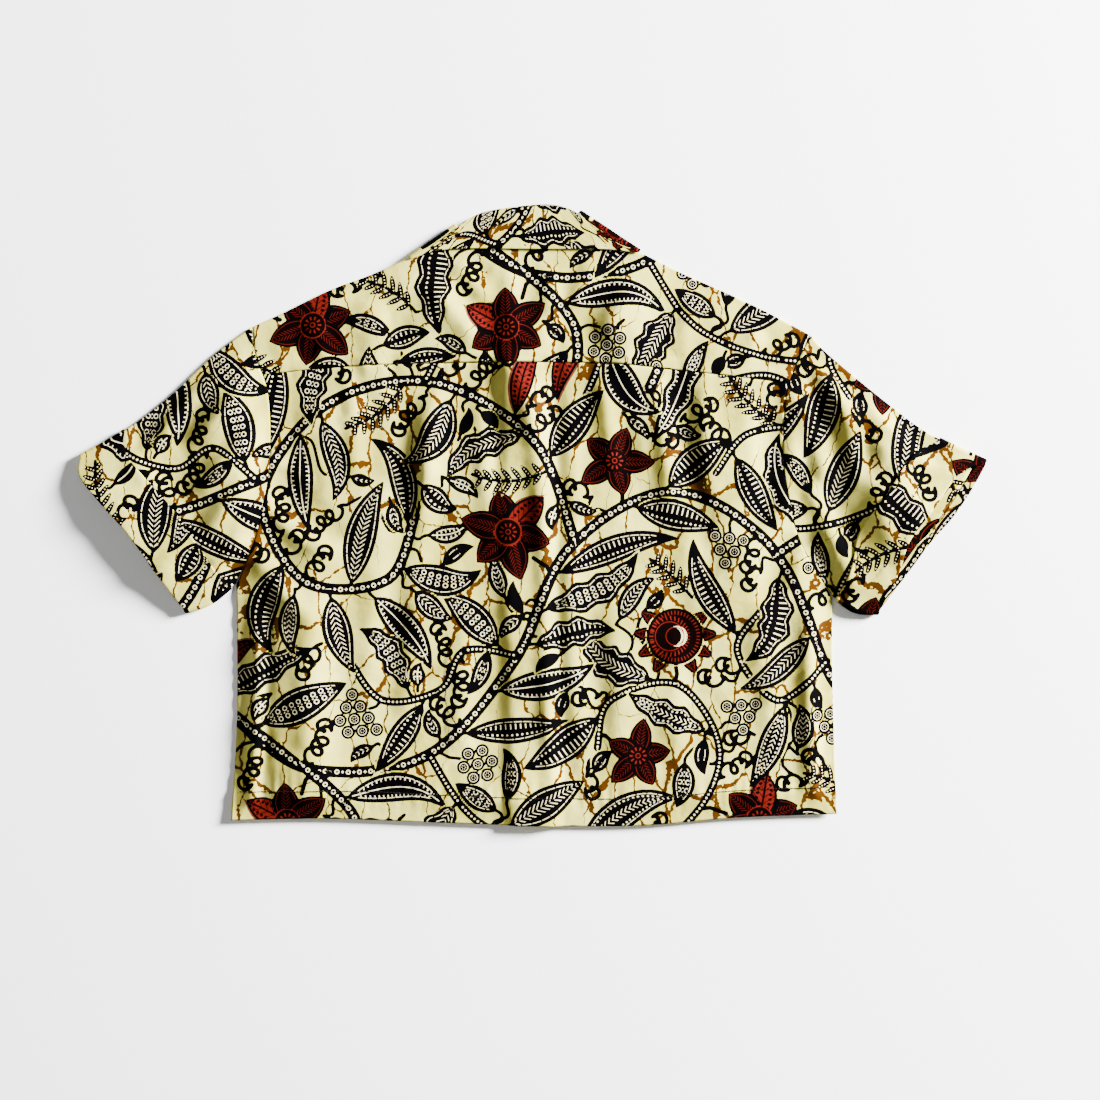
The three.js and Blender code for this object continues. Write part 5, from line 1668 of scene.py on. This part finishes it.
# %% [markdown]
# ## Buttons
#
# Five four-hole buttons close the front, which lies underneath. A button is turned from horn: a flat disc with a
# rolled rim and a shallow dish. Its surface is one profile carried round, with the four holes pressed deep into it,
# and it takes its place and size from its solid.

# %% Turn the buttons
HOLES = {"at": 1.9, "radius": 0.85}
PROFILE = [
    # share of the radius, share of half the height
    (0.0, 0.62), (0.60, 0.62), (0.70, 0.66), (0.78, 0.98), (0.86, 1.0), (0.95, 0.86), (1.0, 0.35),
    (1.0, -0.35), (0.94, -0.9), (0.84, -1.0), (0.4, -1.0), (0.0, -1.0),
]


def button(name):
    """A turned button in the solid's box: the profile's smooth line round the axis, less the holes."""
    low, high = (np.array(corner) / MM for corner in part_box(name))
    middle, size = (low + high) / 2, (high - low) / 2
    profile = np.array(PROFILE)
    run = np.concatenate([[0], np.cumsum(np.linalg.norm(np.diff(profile * [1, 0.4], axis=0), axis=1))])
    at = np.linspace(0, run[-1], 61)
    r = np.interp(at, run, profile[:, 0])[:, None] * size[0]
    z = np.interp(at, run, profile[:, 1])[:, None] * size[2]
    angle = np.linspace(0, 2 * np.pi, 65)[None, :-1]
    x, y = r * np.cos(angle), r * np.sin(angle)
    corner = HOLES["at"] / np.sqrt(2)
    from_hole = np.hypot(np.abs(x) - corner, np.abs(y) - corner)
    pit = 1 - ramp(from_hole, HOLES["radius"] - 0.12, HOLES["radius"] + 0.18)
    z = mix(z + 0 * x, -0.12 * size[2] * np.sign(-z), pit)
    # the dished face is the outside, which looks down here
    points = np.stack([middle[0] + x, middle[1] - y, middle[2] - z], -1)
    rings, n = points.shape[:2]
    ids = np.arange(rings * n).reshape(rings, n)
    turn = np.roll(ids, -1, axis=1)
    sides = np.stack([ids[:-1], ids[1:], turn[1:], turn[:-1]], -1).reshape(-1, 4)
    sides = sides[(n <= sides).all(1) & (sides < n * (rings - 1)).all(1)]
    poles = [rings * n, rings * n + 1]
    caps = [np.stack([np.full(n, poles[0]), ids[1], turn[1]], -1),
            np.stack([np.full(n, poles[1]), turn[-2], ids[-2]], -1)]
    points = np.concatenate([points.reshape(-1, 3), [points[0].mean(0)], [points[-1].mean(0)]])
    made = mesh_piece(name, points, points[:, :2], [sides, *caps], printed=0)
    return stand_for(made, name, slot="button")


BUTTON_NAMES = [f"button_{k}" for k in range(1, 6)]
buttons = [button(name) for name in BUTTON_NAMES]


# %% Horn for the buttons
def horn():
    """Polished dark horn: brown streaks that run through it, and a soft gloss."""
    material, tree, shader = new_material("horn")
    place = node(tree, "TexCoord").outputs["Object"]
    long = node(tree, "Mapping", [("Vector", place), ("Rotation", (0, 0, 0.5)), ("Scale", (900, 160, 300))])
    streak = node(tree, "TexNoise", [("Vector", long.outputs[0]), ("Scale", 1.0), ("Detail", 4.0)])
    share = Value(tree, streak.outputs["Fac"])
    colour = blend(tree, share.ramp(0.35, 0.7), (0.018, 0.010, 0.006, 1), (0.13, 0.070, 0.030, 1))
    tree.links.new(colour, shader.inputs["Base Color"])
    tree.links.new((share * 0.2 + 0.22).socket, shader.inputs["Roughness"])
    shader.inputs["Coat Weight"].default_value = 0.2
    return material


polished_horn = horn()
for piece in buttons:
    piece.data.materials.append(polished_horn)
print("buttons of horn:", len(buttons))


# %% Sew the buttons on
def button_thread(name):
    """Two bars of thread over each button, through its holes."""
    low, high = (np.array(corner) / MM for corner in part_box(name))
    x, y = (low[:2] + high[:2]) / 2
    corner = HOLES["at"] / np.sqrt(2)
    angle = np.arange(8) * 2 * np.pi / 8
    along = np.linspace(-1, 1, 9)
    bars = []
    for offset in (-corner, -corner + 0.42, corner - 0.42, corner):
        dip = 0.75 * np.abs(along) ** 6
        centre = np.stack([x + along * (corner + 0.12), np.full(9, y + offset), 0.42 + dip], -1)
        ring = np.stack([0 * angle, 0.2 * np.cos(angle), 0.2 * np.sin(angle)], -1)
        bars.append(centre[:, None] + ring)
    points = np.stack(bars)
    place = points.reshape(-1, 3)
    piece = mesh_piece(f"{name}_thread", place, place[:, :2], bar_faces(points.shape[:3]), printed=0)
    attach(piece, "root")
    piece.data.materials.append(thread)
    return piece


for name in BUTTON_NAMES:
    button_thread(name)


# %% How much cloth each piece is
def face_area(piece):
    """Half the area of a shell's skin, in square metres: one side of the cloth."""
    area = np.zeros(len(piece.data.polygons), np.float32)
    piece.data.polygons.foreach_get("area", area)
    return float(area.sum()) / 2


for name, piece in cloth.items():
    extent = np.round(np.array(piece.dimensions) / MM).tolist()
    print("area of", name, round(face_area(piece), 5), "extent in mm", extent)

# %% [markdown]
# ## Each piece as cut
#
# A table lists the size that each of the shirt's pieces was cut to, without its seam allowances: the width and length
# of the piece of cloth that it was cut from, its own area, and what it lies on. Each cut area is printed beside the
# area measured on its shell.

CUT = {
    # width and length in metres, area in square metres, what it lies on
    "back": (0.565, 0.432, 0.2265, ("front_left", "front_right")),
    "yoke": (0.520, 0.172, 0.0590, ("front_left", "front_right")),
    "collar": (0.430, 0.078, 0.0220, ("yoke",)),
    "front_left": (0.296, 0.513, 0.1289, ()),
    "front_right": (0.308, 0.523, 0.1326, ("front_left",)),
    "sleeve_left": (0.520, 0.172, 0.0510, ()),
    "sleeve_right": (0.520, 0.172, 0.0506, ()),
    "cuff_left": (0.390, 0.062, 0.0213, ("sleeve_left",)),
    "cuff_right": (0.370, 0.062, 0.0200, ("sleeve_right",)),
    "lapel_left": (0.078, 0.030, 0.00117, ("front_left",)),
    "lapel_right": (0.066, 0.028, 0.00089, ("front_right",)),
}
FOLDED = ("collar", "cuff_left", "cuff_right", "lapel_left", "lapel_right")
for name, (width, length, area, under) in CUT.items():
    held = "folded" if name in FOLDED else "laid"
    print(name, "cut area", area, "measured", round(face_area(cloth[name]), 5))

# %% [markdown]
# ## Camera, light and floor
#
# The shirt lies on a pale floor, and the camera looks straight down on it. One soft lamp stands low on the right,
# so that each fold has a light flank and a shaded one. A weak lamp from the other side and an even pale sky keep
# the shade open.


# %% The camera
VIEW_CENTRE = (15.8 * MM, -32.1 * MM)
CAMERA_HEIGHT = 1.4208 + 8 * MM
camera = bpy.data.objects.new("camera", bpy.data.cameras.new("camera"))
camera.data.lens = 50
camera.data.sensor_width = 36
camera.location = (*VIEW_CENTRE, CAMERA_HEIGHT)
bpy.context.scene.collection.objects.link(camera)
bpy.context.scene.camera = camera
print("camera above", np.round(VIEW_CENTRE, 4).tolist(), "at", round(CAMERA_HEIGHT, 3), "m")


# %% Lights
def area_light(name, place, size, watts, target=(0, 0, 0)):
    """A round soft lamp that looks at the target."""
    data = bpy.data.lights.new(name, "AREA")
    data.shape, data.size, data.energy = "DISK", size, watts
    light = bpy.data.objects.new(name, data)
    light.location = place
    light.rotation_euler = (Vector(target) - Vector(place)).to_track_quat("-Z", "Y").to_euler()
    bpy.context.scene.collection.objects.link(light)


area_light("key", (4.1, 1.7, 1.55), 1.3, 3700)
area_light("fill", (-2.9, 0.4, 3.0), 2.6, 36)
world = bpy.data.worlds.new("studio")
bpy.context.scene.world = world
world.use_nodes = True
sky = world.node_tree.nodes["Background"]
sky.inputs["Color"].default_value = (1, 1, 1, 1)
sky.inputs["Strength"].default_value = 0.22
print("lamps:", [light.name for light in bpy.data.lights])

# %% The floor
bpy.ops.mesh.primitive_plane_add(size=8, location=(0, 0, 0))
floor = bpy.context.object
floor.name = "floor"
white, _, shader = new_material("floor")
shader.inputs["Base Color"].default_value = (0.96, 0.96, 0.96, 1)
floor.data.materials.append(white)
